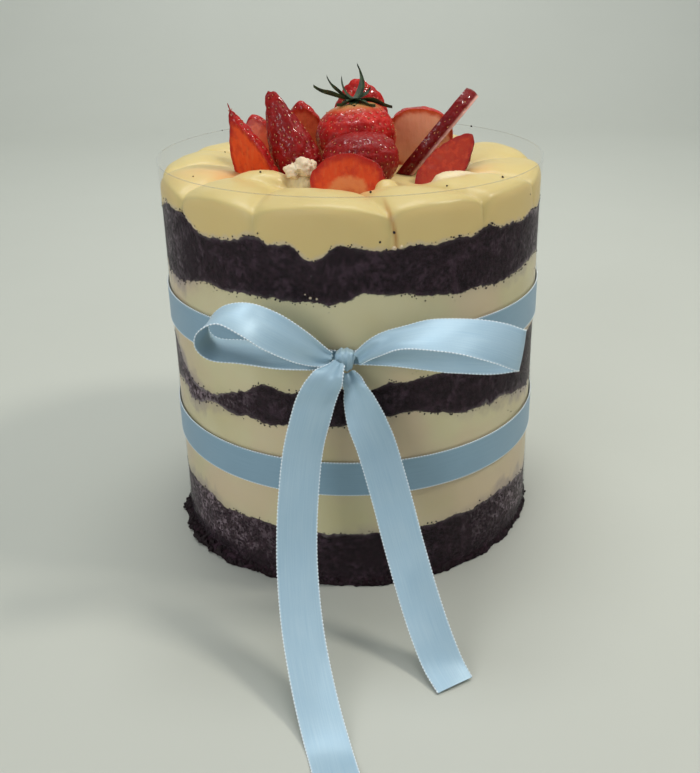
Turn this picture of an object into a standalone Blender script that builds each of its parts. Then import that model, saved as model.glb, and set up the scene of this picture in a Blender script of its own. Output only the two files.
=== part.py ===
"""A naked chocolate layer cake in a clear film collar, with strawberries on top and a ribbon bow.

Metres, +Z up. The origin is the centre of the cake's flat base, and the bow faces -Y.
Angles round the cake are in degrees from +X, so 270 is the front.
"""

import math
import random

import bmesh
import bpy
from mathutils import Matrix, Vector

MM = 0.001

# Cake and collar
FILM_RADIUS = 75.0 * MM
FILM_THICKNESS = 0.3 * MM
FILM_FOOT = 3.4 * MM
FILM_TOP = 152.2 * MM
LAYER_RADIUS = 74.4 * MM
JOIN_GAP = 0.3 * MM
SEGMENTS = 92
TUBE_SEGMENTS = 60
INNER_SHARE = 0.86

# Heights of the joins between the layers, and of the cream on top
BOTTOM_SPONGE_TOP = 23.7 * MM
MIDDLE_SPONGE_FOOT = 68.0 * MM
MIDDLE_SPONGE_TOP = 84.0 * MM
TOP_SPONGE_FOOT = 115.8 * MM
TOP_SPONGE_TOP = 134.6 * MM
CREAM_WALL = 145.6 * MM
CREAM_CREST = 147.6 * MM
CREAM_CENTRE = 144.0 * MM
PETAL_RISE = 3.0 * MM
BACK_DROP = 2.4 * MM
HIGHEST_ANGLE = 292
RIM_SHARE = 0.8
DISH_SHARE = 0.45
TOP_SHARES = (1.0, 0.955, 0.88, 0.78, 0.64, DISH_SHARE)

# Ribbon
RIBBON_WIDTH = 13.4 * MM
RIBBON_THICKNESS = 0.5 * MM
BAND_RADIUS = 75.3 * MM
LOWER_BAND_FOOT = 40.8 * MM
UPPER_BAND_FOOT = 90.6 * MM
KNOT_ANGLE = 267.5
KNOT_CENTRE = (-3.5 * MM, -79.6 * MM, 97.3 * MM)
KNOT_SIZE = (6.4 * MM, 6.2 * MM, 8.0 * MM)
KNOT_ROUNDING = 2.1 * MM
GATHER_HALF_ANGLE = 40
GATHERED_WIDTH = 5.6 * MM

# The lowest sponge's crumbling foot, loosest at one angle: how far it spreads, in mm
FOOT_SEED = 11
LOOSE_ANGLE = 212
LOOSE_HALF_ANGLE = 26
FOOT_SPREAD = (0.1, 1.5)
LOOSE_SPREAD = (1.2, 3.6)
FOOT_LEVELS = (FILM_FOOT - 1.4 * MM, FILM_FOOT - 0.4 * MM)

# Bumps of each join round the cake: angle, half width in degrees, height in mm
LOBES = {
    "bottom_sponge_top": ((266, 7, -1.5), (345, 11, -2.8), (215, 8, 0.6)),
    "middle_sponge_foot": (
        (284, 14, 4.3), (213, 6, -3.5), (234, 4, -1.6), (345, 18, -6.5), (319, 7, -1.5)),
    "middle_sponge_top": ((221, 18, -11.5), (251, 6, -3.2), (318, 30, 3.0)),
    "top_sponge_foot": ((203, 13, -3.0), (276, 11, 2.2), (305, 9, -0.5), (335, 10, 0.9)),
    "top_sponge_top": ((207, 14, 4.6), (243, 4, 2.8), (260, 4, -4.4), (309, 4, 2.4), (336, 8, 2.0)),
}
BACK_LOBES = 5
RIPPLE = 0.5 * MM

# Creases between the spooned petals of cream, in degrees
CREASES = (6, 38, 70, 101, 133, 160, 186, 214, 243, 279.5, 308, 336)
PETAL_SWIRL = 16
PETAL_ROUNDNESS = 2.6
CREASE_CUT = 1.1 * MM
SIDE_ROW = 0.45
SIDE_CREASE = 0.7

# Cream dabs between the berries: centre and half sizes in mm
FIRST_DAB_SEED = 50
DABS = (
    ((-18.5, -30.0, 147.5), (5.0, 4.0, 4.6)),
    ((46.5, -14.5, 146.0), (6.0, 6.0, 4.2)),
    ((12.5, -43.0, 147.2), (4.2, 3.4, 3.2)),
    ((-33.0, -30.0, 147.0), (11.0, 6.5, 4.4)),
)

# Strawberries: width in mm, the share kept in half widths from the back to the front of its facing
# direction, its foot and its top in mm, that direction, and its profile as it stands
BERRIES = {
    "whole": (32, (-1, 1), (3.5, -3, 137.5), (1.5, 1, 170.5), (0, -1, 0), "shoulder"),
    "front_half": (28, (0, 1), (4.5, -18.5, 137.5), (3, -17.2, 162.5), (0, -1, 0.1), "shoulder"),
    "front_slice": (27, (-0.2, 0.2), (-1, -41, 137.5), (-1.5, -36.5, 158.5), (0, -1, 0.2), "dome"),
    "left_slice": (16, (-0.28, 0.28), (-31.8, -17.4, 138), (-45, -17, 173.5), (-0.5, -0.8, 0.2), "fin"),
    "left_rear_slice": (19, (-0.28, 0.28), (-27, -4, 138), (-38.5, 4, 166), (-0.3, -0.9, 0.3), "tip"),
    "left_wedge": (19.5, (0.15, 1), (-16, -12, 138), (-32, -8, 182), (-0.15, -1, 0.1), "fin"),
    "rear_slice": (19, (-0.26, 0.26), (-17, 18, 138), (-20, 15.5, 169.5), (-0.1, -1, 0.1), "tip"),
    "back_half": (28, (0.35, 1), (4.5, 33, 139), (4, 29, 180.5), (0, -1, 0), "tip"),
    "right_rear_slice": (28, (-0.18, 0.18), (27, 15.5, 138), (28.5, 13.5, 166.5), (0, -1, 0.1), "shoulder"),
    "right_long_slice": (20, (-0.28, 0.28), (17, -5, 139), (47.5, -1, 174.5), (-0.72, 0.2, 0.69), "shoulder"),
    "right_slice": (15, (-0.7, 0.1), (26, -23, 138.5), (45.5, -17, 161), (-0.3, -0.85, 0.45), "tip"),
}
BERRY_SEGMENTS = 16
BERRY_RINGS = 10
FIRST_BERRY_SEED = 70
PROFILES = {"shoulder": (0.42, 0.70), "tip": (0.42, 0.70), "fin": (0.42, 1.15), "dome": (0.5, 0.5)}
OVALNESS = 0.05
THREE_SIDES = 0.03
POCKET_GAP = 0.45 * MM

# Calyx: each sepal's direction in degrees, its length, how far its tip rises and half its width, in mm,
# and its roll in degrees
CALYX_CENTRE = (1.5 * MM, 1.0 * MM, 171.0 * MM)
CALYX_RADIUS = 3.4 * MM
CALYX_THICKNESS = 0.45 * MM
NOTCH_SHARE = 0.8
SEPAL_ROWS = ((0.3, 1.0), (0.6, 0.85), (0.85, 0.45))
SEPAL_CUP = 0.3 * MM
SEPAL_ARCH = {"rising": 0.5 * MM, "drooping": 0.9 * MM}
SEPALS = (
    (5, 15, -2.8, 1.6, -30), (42, 9, 3.0, 1.5, 0), (82, 11, 11.0, 1.2, 0), (125, 8, 7.0, 1.6, 35),
    (160, 11, 7.5, 1.3, 40), (187, 15.5, 4.6, 1.2, 45), (228, 10, -0.4, 2.0, 20), (272, 8.5, -0.8, 2.1, 0),
    (318, 11, -1.0, 2.0, -20),
)

# Ribbon runs in mm: centre, the direction across the ribbon, and the share of its flat width
LEFT_LOOP = (
    ((-8.3, -80.9, 98.2), (0, 0.1, 1), 0.32), ((-12.4, -83, 100.3), (0.35, 0.2, 1), 0.56),
    ((-18.5, -85.5, 104.8), (0.35, 0.35, 0.9), 0.8), ((-27, -87, 110.8), (0.3, 0.6, 0.75), 0.97),
    ((-35, -87, 115.2), (0.2, 0.85, 0.5), 1), ((-43, -86.3, 116.8), (0.1, 0.98, 0.1), 1),
    ((-48.8, -85.6, 113.2), (0.2, 0.97, 0), 1), ((-50, -85, 108.2), (0.2, 0.97, 0.05), 1),
    ((-46.4, -84.6, 104.3), (0.1, 0.98, 0.15), 1), ((-38, -84.6, 103.2), (0, 0.98, 0.2), 1),
    ((-28, -83.6, 101.4), (0, 0.95, 0.3), 0.95), ((-17, -81.9, 98.9), (0, 0.8, 0.6), 0.62),
    ((-7.9, -78.5, 96.4), (0, 0.3, 0.95), 0.3),
)
RIGHT_LOOP = (
    ((0.9, -81.9, 98.6), (-0.1, 0.1, 1), 0.32), ((6, -85, 103.6), (-0.1, 0.5, 0.87), 0.48),
    ((14, -87.2, 107.7), (0, 0.9, 0.43), 0.7), ((24.5, -88.9, 109.6), (0.1, 0.88, 0.47), 0.97),
    ((36, -90.5, 109.4), (0.12, 0.78, 0.62), 1), ((47, -91, 107), (0.08, 0.5, 0.86), 1),
    ((53.8, -90, 104), (0.15, 0.3, 0.95), 1), ((55.6, -86.8, 102.4), (0.2, 0.28, 0.95), 1),
    ((53.2, -83.6, 100.8), (0.2, 0.3, 0.93), 1), ((45.5, -81.6, 99), (0.05, 0.3, 0.95), 1),
    ((32, -80.4, 99.3), (0, 0.25, 0.97), 1), ((15, -79.6, 99.3), (0, 0.15, 0.99), 0.72),
    ((0.9, -78.6, 97), (0, 0.1, 1), 0.3),
)
LEFT_TAIL = (
    ((-5.4, -84.4, 98.4), (1, 0, 0.5), 0.34), ((-8.6, -87.2, 94.6), (0.9, 0.1, 0.4), 0.72),
    ((-12, -88.4, 89.4), (0.96, 0.2, 0.1), 0.93), ((-14.6, -89.6, 83), (0.96, 0.25, 0), 1),
    ((-18.1, -93.7, 70.5), (0.95, 0.3, 0), 1), ((-20.2, -100.3, 54.9), (0.96, 0.26, 0), 1),
    ((-20.9, -107.9, 40.1), (0.96, 0.26, 0), 1), ((-20.4, -115.6, 29.2), (0.96, 0.24, 0), 1),
    ((-18.9, -125, 19), (0.97, 0.2, 0), 1), ((-16.2, -136.2, 10), (0.98, 0.16, 0), 1),
    ((-13.2, -147, 3.6), (0.99, 0.1, 0), 1), ((-10.4, -157, 0.7), (1, 0, 0), 1),
    ((-7.8, -168, 0.7), (1, 0, 0), 1), ((-5.6, -179, 0.7), (1, 0, 0), 1),
)
RIGHT_TAIL = (
    ((-2.6, -80.6, 92.9), (1, 0.2, 0), 0.32), ((-0.8, -83.4, 89.4), (0.85, -0.5, 0), 0.6),
    ((0.9, -85.2, 84.6), (0.9, -0.4, 0), 0.86), ((3.6, -87, 76.6), (0.97, -0.15, 0.1), 1),
    ((7, -89.6, 67.5), (1, 0, 0.15), 1), ((11.7, -95.3, 50.9), (1, 0, 0.15), 1),
    ((15.9, -102.5, 35.1), (1, 0, 0.15), 1), ((21.3, -113, 18), (1, 0, 0.1), 1),
    ((26.6, -123, 5.8), (1, 0.1, 0), 1), ((31, -131, 0.9), (0.9, 0.42, 0), 1),
)
LOOP_STEPS = 3
TAIL_STEPS = 2


def clear_scene():
    for obj in list(bpy.data.objects):
        bpy.data.objects.remove(obj, do_unlink=True)


def collection(name):
    made = bpy.data.collections.new(name)
    bpy.context.scene.collection.children.link(made)
    return made


def material(name, colour, roughness, metallic=0.0, alpha=1.0):
    made = bpy.data.materials.new(name)
    made.use_nodes = True
    shader = made.node_tree.nodes["Principled BSDF"]
    shader.inputs["Base Color"].default_value = (*colour, 1.0)
    shader.inputs["Roughness"].default_value = roughness
    shader.inputs["Metallic"].default_value = metallic
    shader.inputs["Alpha"].default_value = alpha
    return made


def add_object(name, bm, home, finish=None, smooth_angle=40):
    mesh = bpy.data.meshes.new(name)
    bm.to_mesh(mesh)
    bm.free()
    mesh.shade_smooth()
    mesh.set_sharp_from_angle(angle=math.radians(smooth_angle))
    obj = bpy.data.objects.new(name, mesh)
    home.objects.link(obj)
    if finish:
        mesh.materials.append(finish)
    return obj


def turn_between(angle, other):
    """The signed difference of two angles in degrees, from -180 to 180."""
    return (angle - other + 180) % 360 - 180


def angle_of(point):
    return math.degrees(math.atan2(point.y, point.x)) % 360


def at_angle(radius, angle, height):
    turn = math.radians(angle)
    return Vector((radius * math.cos(turn), radius * math.sin(turn), height))


# Joins between the layers

class Join:
    """The height of one join round the cake: its level, the lobes that show, and seeded ones behind."""

    def __init__(self, name, level, seed):
        draw = random.Random(seed)
        self.level = level
        self.lobes = list(LOBES[name])
        for number in range(BACK_LOBES):
            centre = 10 + number * 160 / (BACK_LOBES - 1) + draw.uniform(-9, 9)
            self.lobes.append((centre, draw.uniform(5, 12), draw.uniform(-3.2, 3.2)))
        self.waves = [(count, draw.uniform(0, 360), RIPPLE * size)
                      for count, size in ((7, 1.0), (13, 0.8), (22, 0.7), (31, 0.5))]

    def height(self, angle):
        total = self.level
        for centre, half_width, rise in self.lobes:
            share = abs(turn_between(angle, centre)) / half_width
            total += rise * MM * math.exp(-share ** 3)
        for count, phase, size in self.waves:
            total += size * math.sin(math.radians(count * angle + phase))
        return total


def make_joins():
    levels = {
        "bottom_sponge_top": BOTTOM_SPONGE_TOP,
        "middle_sponge_foot": MIDDLE_SPONGE_FOOT,
        "middle_sponge_top": MIDDLE_SPONGE_TOP,
        "top_sponge_foot": TOP_SPONGE_FOOT,
        "top_sponge_top": TOP_SPONGE_TOP,
    }
    return {name: Join(name, level, seed) for seed, (name, level) in enumerate(levels.items(), start=3)}


# Layers

def layer_disc(radius, segments=SEGMENTS):
    """A disc one metre high with each cap inset, so that its rim can wave while its middle stays flat."""
    bm = bmesh.new()
    bmesh.ops.create_cone(bm, cap_ends=True, segments=segments, radius1=radius, radius2=radius, depth=1)
    for direction in (-1, 1):
        cap = [face for face in bm.faces if face.normal.z * direction > 0.9 and len(face.verts) > 4]
        bmesh.ops.inset_region(bm, faces=cap, thickness=radius * (1 - INNER_SHARE), use_even_offset=True)
    return bm


def shape_layer(bm, low, high):
    """Moves the rims to the joins low and high, and the flat middles to the joins' levels."""
    edge = LAYER_RADIUS * (1 + INNER_SHARE) / 2
    for vert in bm.verts:
        join = high if vert.co.z > 0 else low
        side = -JOIN_GAP / 2 if vert.co.z > 0 else JOIN_GAP / 2
        if join is None:
            vert.co.z = 0.0
            continue
        rim = vert.co.xy.length > edge
        vert.co.z = side + (join.height(angle_of(vert.co)) if rim else join.level)


def split_quads(bm):
    """Splits each quad along its shorter diagonal, so that two layers meet in like triangles."""
    quads = [face for face in bm.faces if len(face.verts) == 4]
    bmesh.ops.triangulate(bm, faces=quads, quad_method="SHORT_EDGE")


def make_layer(name, low, high, home, finish):
    bm = layer_disc(LAYER_RADIUS)
    shape_layer(bm, low, high)
    split_quads(bm)
    add_object(name, bm, home, finish)


def make_bottom_sponge(high, home, finish):
    """The lowest sponge, whose crumbling foot spreads out under the film's lower edge."""
    bm = layer_disc(LAYER_RADIUS)
    shape_layer(bm, None, high)
    walls = [edge for edge in bm.edges
             if abs(edge.verts[0].co.z - edge.verts[1].co.z) > FILM_FOOT]
    ring = bmesh.ops.subdivide_edgering(bm, edges=walls, cuts=len(FOOT_LEVELS), profile_shape="LINEAR")
    rows = {}
    for face in ring["faces"]:
        for vert in face.verts:
            rows.setdefault(round(angle_of(vert.co), 1), set()).add(vert)
    draw = random.Random(FOOT_SEED)
    for angle, column in sorted(rows.items()):
        column = sorted(column, key=lambda vert: vert.co.z)
        loose = math.exp(-(turn_between(angle, LOOSE_ANGLE) / LOOSE_HALF_ANGLE) ** 2)
        spread = draw.uniform(*FOOT_SPREAD) + loose * draw.uniform(*LOOSE_SPREAD)
        above = 0.75 * spread + draw.uniform(-0.3, 0.5)
        column[0].co = at_angle(LAYER_RADIUS + spread * MM, angle, 0)
        column[1].co = at_angle(LAYER_RADIUS + above * MM, angle, FOOT_LEVELS[0])
        column[2].co = at_angle(LAYER_RADIUS, angle, FOOT_LEVELS[1])
    split_quads(bm)
    add_object("sponge_bottom", bm, home, finish)


def petal_bump(angle):
    """The rise of the spooned petal at an angle: 1 in its middle and 0 in the creases beside it."""
    for start, end in zip(CREASES, CREASES[1:] + (CREASES[0] + 360,)):
        place = (angle - start) % 360
        if place < end - start:
            share = 2 * place / (end - start) - 1
            return 1 - abs(share) ** PETAL_ROUNDNESS
    return 0.0


def cream_height(angle, share):
    """The top of the cream at an angle and a share of the radius."""
    bump = petal_bump(angle + PETAL_SWIRL * (1 - share))
    back = 0.5 * (1 - math.cos(math.radians(turn_between(angle, HIGHEST_ANGLE))))
    wall = CREAM_WALL - BACK_DROP * back
    crest = CREAM_CREST - 0.5 * BACK_DROP * back
    if share > RIM_SHARE:
        blend = (share - RIM_SHARE) / (1 - RIM_SHARE)
        base = crest + (wall - crest) * blend ** 2
        rise = 1.0
    elif share > DISH_SHARE:
        blend = (RIM_SHARE - share) / (RIM_SHARE - DISH_SHARE)
        base = crest + (CREAM_CENTRE - crest) * (3 * blend ** 2 - 2 * blend ** 3)
        rise = 1 - blend ** 2
    else:
        base = CREAM_CENTRE
        rise = 0.0
    return base + PETAL_RISE * bump * rise


def make_cream_top(low, home, finish):
    """The spooned cream on top: rings from its foot up the wall and in to the centre."""
    rows = [("foot", INNER_SHARE), ("foot", 1.0), ("side", 1.0)]
    rows += [("top", share) for share in TOP_SHARES]
    bm = bmesh.new()
    rings = []
    for kind, share in rows:
        ring = []
        for number in range(SEGMENTS):
            angle = number * 360 / SEGMENTS
            radius = LAYER_RADIUS * share
            top = cream_height(angle, share)
            foot = JOIN_GAP / 2 + (low.height(angle) if share == 1.0 else low.level)
            crease = (1 - petal_bump(angle)) ** 3 * CREASE_CUT
            height = {"foot": foot, "side": foot + SIDE_ROW * (top - foot), "top": top}[kind]
            if share == 1.0 and kind != "foot":
                radius -= crease * (1.0 if kind == "top" else SIDE_CREASE)
            ring.append(bm.verts.new(at_angle(radius, angle, height)))
        rings.append(ring)
    for lower, upper in zip(rings, rings[1:]):
        for number in range(SEGMENTS):
            after = (number + 1) % SEGMENTS
            bm.faces.new((lower[number], lower[after], upper[after], upper[number]))
    bm.faces.new(rings[0][::-1])
    bm.faces.new(rings[-1])
    split_quads(bm)
    return add_object("cream_top", bm, home, finish, 60)


def add_dabs(cream, cutters):
    for number, (centre, half_sizes) in enumerate(DABS, start=1):
        bm = bmesh.new()
        bmesh.ops.create_icosphere(bm, subdivisions=2, radius=MM)
        draw = random.Random(FIRST_DAB_SEED + number)
        for vert in bm.verts:
            uneven = draw.uniform(0.9, 1.1)
            vert.co = Vector(vert.co[axis] * half_sizes[axis] * uneven for axis in range(3))
            vert.co += Vector(centre) * MM
        dab = add_object(f"dab_{number}", bm, cutters)
        join = cream.modifiers.new(f"dab {number}", "BOOLEAN")
        join.operation = "UNION"
        join.object = dab


# Collar and bands

def tube(name, radius, low, high, thickness, home, finish):
    """A thin standing tube whose lower and upper edges are functions of the angle."""
    bm = bmesh.new()
    bmesh.ops.create_cone(bm, cap_ends=False, segments=TUBE_SEGMENTS, radius1=radius, radius2=radius, depth=1)
    for vert in bm.verts:
        angle = angle_of(vert.co)
        vert.co = at_angle(radius, angle, high(angle) if vert.co.z > 0 else low(angle))
    obj = add_object(name, bm, home, finish)
    wall = obj.modifiers.new("wall", "SOLIDIFY")
    wall.thickness = thickness
    wall.offset = 1.0


def gather(angle):
    """How far the upper band is drawn together at an angle: 0 at the sides and 1 at the knot."""
    share = min(1.0, abs(turn_between(angle, KNOT_ANGLE)) / GATHER_HALF_ANGLE)
    return 1 - share * share * (3 - 2 * share)


def upper_band_edge(angle, side):
    middle = UPPER_BAND_FOOT + RIBBON_WIDTH / 2
    middle += (KNOT_CENTRE[2] - middle) * gather(angle)
    width = RIBBON_WIDTH + (GATHERED_WIDTH - RIBBON_WIDTH) * gather(angle)
    return middle + side * width / 2


def make_collar_and_bands(home, film, satin):
    tube("film_collar", FILM_RADIUS - FILM_THICKNESS, lambda angle: FILM_FOOT, lambda angle: FILM_TOP,
         FILM_THICKNESS, home, film)
    tube("ribbon_band_lower", BAND_RADIUS, lambda angle: LOWER_BAND_FOOT,
         lambda angle: LOWER_BAND_FOOT + RIBBON_WIDTH, RIBBON_THICKNESS, home, satin)
    tube("ribbon_band_upper", BAND_RADIUS, lambda angle: upper_band_edge(angle, -1),
         lambda angle: upper_band_edge(angle, 1), RIBBON_THICKNESS, home, satin)


# Bow

def curve_through(values, steps):
    """Values on a smooth curve through the given tuples, with so many steps between two of them."""
    padded = [values[0], *values, values[-1]]
    smooth = []
    for before, start, end, after in zip(padded, padded[1:], padded[2:], padded[3:]):
        for step in range(steps):
            place = step / steps
            smooth.append(tuple(
                0.5 * (2 * b + (c - a) * place + (2 * a - 5 * b + 4 * c - d) * place ** 2
                       + (3 * b - a - 3 * c + d) * place ** 3)
                for a, b, c, d in zip(before, start, end, after)))
    smooth.append(tuple(values[-1]))
    return smooth


def make_ribbon(name, run, steps, home, finish):
    """A ribbon of one piece along a run of centres, with its direction across at each of them."""
    rows = curve_through([(*centre, *across, share) for centre, across, share in run], steps)
    centres = [Vector(row[:3]) * MM for row in rows]
    bm = bmesh.new()
    strip = []
    for number, (row, centre) in enumerate(zip(rows, centres)):
        along = centres[min(number + 1, len(rows) - 1)] - centres[max(number - 1, 0)]
        along.normalize()
        across = Vector(row[3:6])
        across = (across - along * across.dot(along)).normalized()
        half = across * RIBBON_WIDTH * min(1.0, row[6]) / 2
        strip.append([bm.verts.new(centre + half * side) for side in (-1, 0, 1)])
    for first, second in zip(strip, strip[1:]):
        for side in (0, 1):
            bm.faces.new((first[side], first[side + 1], second[side + 1], second[side]))
    obj = add_object(name, bm, home, finish)
    wall = obj.modifiers.new("thickness", "SOLIDIFY")
    wall.thickness = RIBBON_THICKNESS
    wall.offset = 0.0


def make_knot(home, finish):
    bm = bmesh.new()
    bmesh.ops.create_cube(bm, size=1)
    bmesh.ops.scale(bm, vec=KNOT_SIZE, verts=bm.verts)
    bmesh.ops.bevel(bm, geom=bm.edges, offset=KNOT_ROUNDING, segments=3, profile=0.6, affect="EDGES")
    bmesh.ops.translate(bm, vec=KNOT_CENTRE, verts=bm.verts)
    add_object("bow_knot", bm, home, finish, 70)


def make_bow(home, satin):
    make_knot(home, satin)
    make_ribbon("bow_loop_left", LEFT_LOOP, LOOP_STEPS, home, satin)
    make_ribbon("bow_loop_right", RIGHT_LOOP, LOOP_STEPS, home, satin)
    make_ribbon("bow_tail_left", LEFT_TAIL, TAIL_STEPS, home, satin)
    make_ribbon("bow_tail_right", RIGHT_TAIL, TAIL_STEPS, home, satin)


# Strawberries

def girth(height, profile):
    """A strawberry's share of its full width at a share of its height."""
    first, last = PROFILES[profile]
    fullest = first / (first + last)
    most = fullest ** first * (1 - fullest) ** last
    place = 1 - height if profile == "shoulder" else height
    return max(0.0, place) ** first * max(0.0, 1 - place) ** last / most


def berry_shape(length, width, kept, profile, seed):
    """A strawberry along +Z from its foot at 0, cut flat where less than all of it is kept along Y."""
    draw = random.Random(seed)
    lean = draw.uniform(0, 360)
    bm = bmesh.new()
    bmesh.ops.create_uvsphere(bm, u_segments=BERRY_SEGMENTS, v_segments=BERRY_RINGS, radius=1)
    for vert in bm.verts:
        height = (vert.co.z + 1) / 2
        round_share = vert.co.xy.normalized() if vert.co.xy.length > 1e-6 else Vector((0, 0))
        angle = math.degrees(math.atan2(vert.co.y, vert.co.x))
        uneven = 1 + OVALNESS * math.sin(math.radians(2 * angle + lean))
        uneven += THREE_SIDES * math.sin(math.radians(3 * angle))
        radius = girth(height, profile) * width / 2 * uneven
        vert.co = Vector((round_share.x * radius, round_share.y * radius, height * length))
    for limit, side in ((kept[0], -1), (kept[1], 1)):
        if abs(limit) == 1:
            continue
        plane = limit * width / 2
        cut = bmesh.ops.bisect_plane(bm, geom=bm.verts[:] + bm.edges[:] + bm.faces[:], dist=1e-6,
                                     plane_co=(0, plane, 0), plane_no=(0, side, 0), clear_outer=True)
        edges = [part for part in cut["geom_cut"] if isinstance(part, bmesh.types.BMEdge)]
        bmesh.ops.holes_fill(bm, edges=edges)
    bmesh.ops.recalc_face_normals(bm, faces=bm.faces)
    return bm


def stand(bm, foot, top, facing):
    """Turns a shape on +Z to run from foot to top, with its +Y side facing the given way."""
    axis = (top - foot).normalized()
    front = (facing - axis * facing.dot(axis)).normalized()
    side = front.cross(axis)
    turn = Matrix((side, front, axis)).transposed().to_4x4()
    bmesh.ops.transform(bm, matrix=Matrix.Translation(foot) @ turn, verts=bm.verts)


def add_fattened(source, name, by, home):
    """Adds a copy of a solid with every point moved out along its normal, to cut room for the solid."""
    bm = bmesh.new()
    bm.from_mesh(source.data)
    bmesh.ops.triangulate(bm, faces=bm.faces)
    bm.normal_update()
    moved = {vert: vert.co + vert.normal * by for vert in bm.verts}
    for vert, place in moved.items():
        vert.co = place
    add_object(name, bm, home)


def make_berries(home, cutters, skin):
    for seed, (name, spec) in enumerate(BERRIES.items(), start=FIRST_BERRY_SEED):
        width, kept, foot, top, facing, profile = spec
        foot = Vector(foot) * MM
        top = Vector(top) * MM
        bm = berry_shape((top - foot).length, width * MM, kept, profile, seed)
        stand(bm, foot, top, Vector(facing))
        berry = add_object(f"strawberry_{name}", bm, home, skin)
        add_fattened(berry, f"pocket_{name}", POCKET_GAP, cutters)


def make_calyx(home, finish):
    """The whole strawberry's leaves: a thin wavy star, triangulated before it is given its thickness."""
    bm = bmesh.new()
    centre = Vector(CALYX_CENTRE)
    hub = bm.verts.new(centre)
    count = len(SEPALS)
    ring = []
    for number in range(2 * count):
        sepal = number // 2
        angle = SEPALS[sepal][0]
        if number % 2:
            after = SEPALS[(sepal + 1) % count][0]
            angle += ((after - angle) % 360) / 2
        radius = CALYX_RADIUS * (1.0 if number % 2 == 0 else NOTCH_SHARE)
        ring.append(bm.verts.new(centre + at_angle(radius, angle, -0.1 * MM)))
    for number in range(2 * count):
        bm.faces.new((hub, ring[number], ring[(number + 1) % (2 * count)]))
    for sepal, (angle, length, rise, half_width, roll) in enumerate(SEPALS):
        middle = ring[2 * sepal]
        row = (ring[2 * sepal - 1], middle, ring[2 * sepal + 1])
        arch = SEPAL_ARCH["rising" if rise > 0 else "drooping"]
        for place, share in SEPAL_ROWS:
            reach = CALYX_RADIUS + (length * MM - CALYX_RADIUS) * place
            lift = rise * MM * place ** 1.6 + arch * math.sin(math.pi * place)
            new_row = []
            for side in (-1, 0, 1):
                spread = at_angle(reach, angle, lift + SEPAL_CUP * abs(side))
                width = half_width * share * MM * side
                turn = math.radians(roll) * place
                spread += at_angle(width * math.cos(turn), angle + 90, width * math.sin(turn))
                new_row.append(bm.verts.new(centre + spread))
            for side in (0, 1):
                bm.faces.new((row[side], new_row[side], new_row[side + 1], row[side + 1]))
            row = new_row
        tip = bm.verts.new(centre + at_angle(length * MM, angle, rise * MM))
        for side in (0, 1):
            bm.faces.new((row[side], tip, row[side + 1]))
    bmesh.ops.recalc_face_normals(bm, faces=bm.faces)
    bmesh.ops.triangulate(bm, faces=bm.faces)
    obj = add_object("strawberry_calyx", bm, home, finish, 80)
    wall = obj.modifiers.new("thickness", "SOLIDIFY")
    wall.thickness = CALYX_THICKNESS
    wall.offset = 1.0


def cut_pockets(cream, pockets):
    cut = cream.modifiers.new("berry pockets", "BOOLEAN")
    cut.operation = "DIFFERENCE"
    cut.operand_type = "COLLECTION"
    cut.collection = pockets
    cut.solver = "EXACT"


def main():
    clear_scene()
    cake = collection("naked_cake")
    helpers = collection("helpers")
    pockets = collection("pockets")
    sponge = material("chocolate_sponge", (0.022, 0.012, 0.013), 0.85)
    cream = material("vanilla_cream", (0.72, 0.60, 0.33), 0.4)
    film = material("clear_film", (0.85, 0.85, 0.9), 0.05, alpha=0.2)
    satin = material("blue_satin", (0.30, 0.52, 0.70), 0.35)
    skin = material("strawberry", (0.45, 0.02, 0.02), 0.35)
    leaf = material("calyx", (0.03, 0.07, 0.03), 0.5)

    joins = make_joins()
    make_bottom_sponge(joins["bottom_sponge_top"], cake, sponge)
    make_layer("cream_lower", joins["bottom_sponge_top"], joins["middle_sponge_foot"], cake, cream)
    make_layer("sponge_middle", joins["middle_sponge_foot"], joins["middle_sponge_top"], cake, sponge)
    make_layer("cream_upper", joins["middle_sponge_top"], joins["top_sponge_foot"], cake, cream)
    make_layer("sponge_top", joins["top_sponge_foot"], joins["top_sponge_top"], cake, sponge)
    top = make_cream_top(joins["top_sponge_top"], cake, cream)
    add_dabs(top, helpers)
    make_berries(cake, pockets, skin)
    cut_pockets(top, pockets)
    make_calyx(cake, leaf)
    make_collar_and_bands(cake, film, satin)
    make_bow(cake, satin)
    for cutter in (*helpers.objects, *pockets.objects):
        cutter.hide_render = True
        cutter.display_type = "WIRE"


main()
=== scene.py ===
# %% [markdown]
# # A naked chocolate cake in a clear collar
#
# This notebook dresses a finished solid model of a small tall cake. The real one is three dark sponges with
# pale cream between them and on top, set in a ring of clear film, tied with satin ribbon and crowned with
# cut strawberries. The solids already have the true size and form. Every step below takes one thing that
# the eye notices on the real cake and builds the fine surface or the finish that makes it look that way.
#
# We start by loading the solids as a fixed frame. Nothing in it may move, because other tools measure it.

# %% Load the solid model
import math
import random

import bmesh
import bpy
from mathutils import Matrix, Vector, kdtree, noise


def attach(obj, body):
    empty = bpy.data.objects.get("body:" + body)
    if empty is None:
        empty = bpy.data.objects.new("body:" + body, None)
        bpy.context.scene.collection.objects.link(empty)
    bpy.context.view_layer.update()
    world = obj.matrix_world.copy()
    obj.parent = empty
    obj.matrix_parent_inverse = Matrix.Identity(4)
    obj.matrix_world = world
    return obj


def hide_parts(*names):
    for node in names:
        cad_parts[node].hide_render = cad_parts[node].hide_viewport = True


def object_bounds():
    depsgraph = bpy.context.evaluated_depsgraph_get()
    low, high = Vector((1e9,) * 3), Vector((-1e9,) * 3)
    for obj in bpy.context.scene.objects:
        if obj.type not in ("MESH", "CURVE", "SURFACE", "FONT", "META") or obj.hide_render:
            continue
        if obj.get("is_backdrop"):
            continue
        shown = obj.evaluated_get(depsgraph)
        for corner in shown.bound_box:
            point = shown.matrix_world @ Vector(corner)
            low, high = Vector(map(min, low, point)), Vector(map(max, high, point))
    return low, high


MM = 0.001

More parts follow.
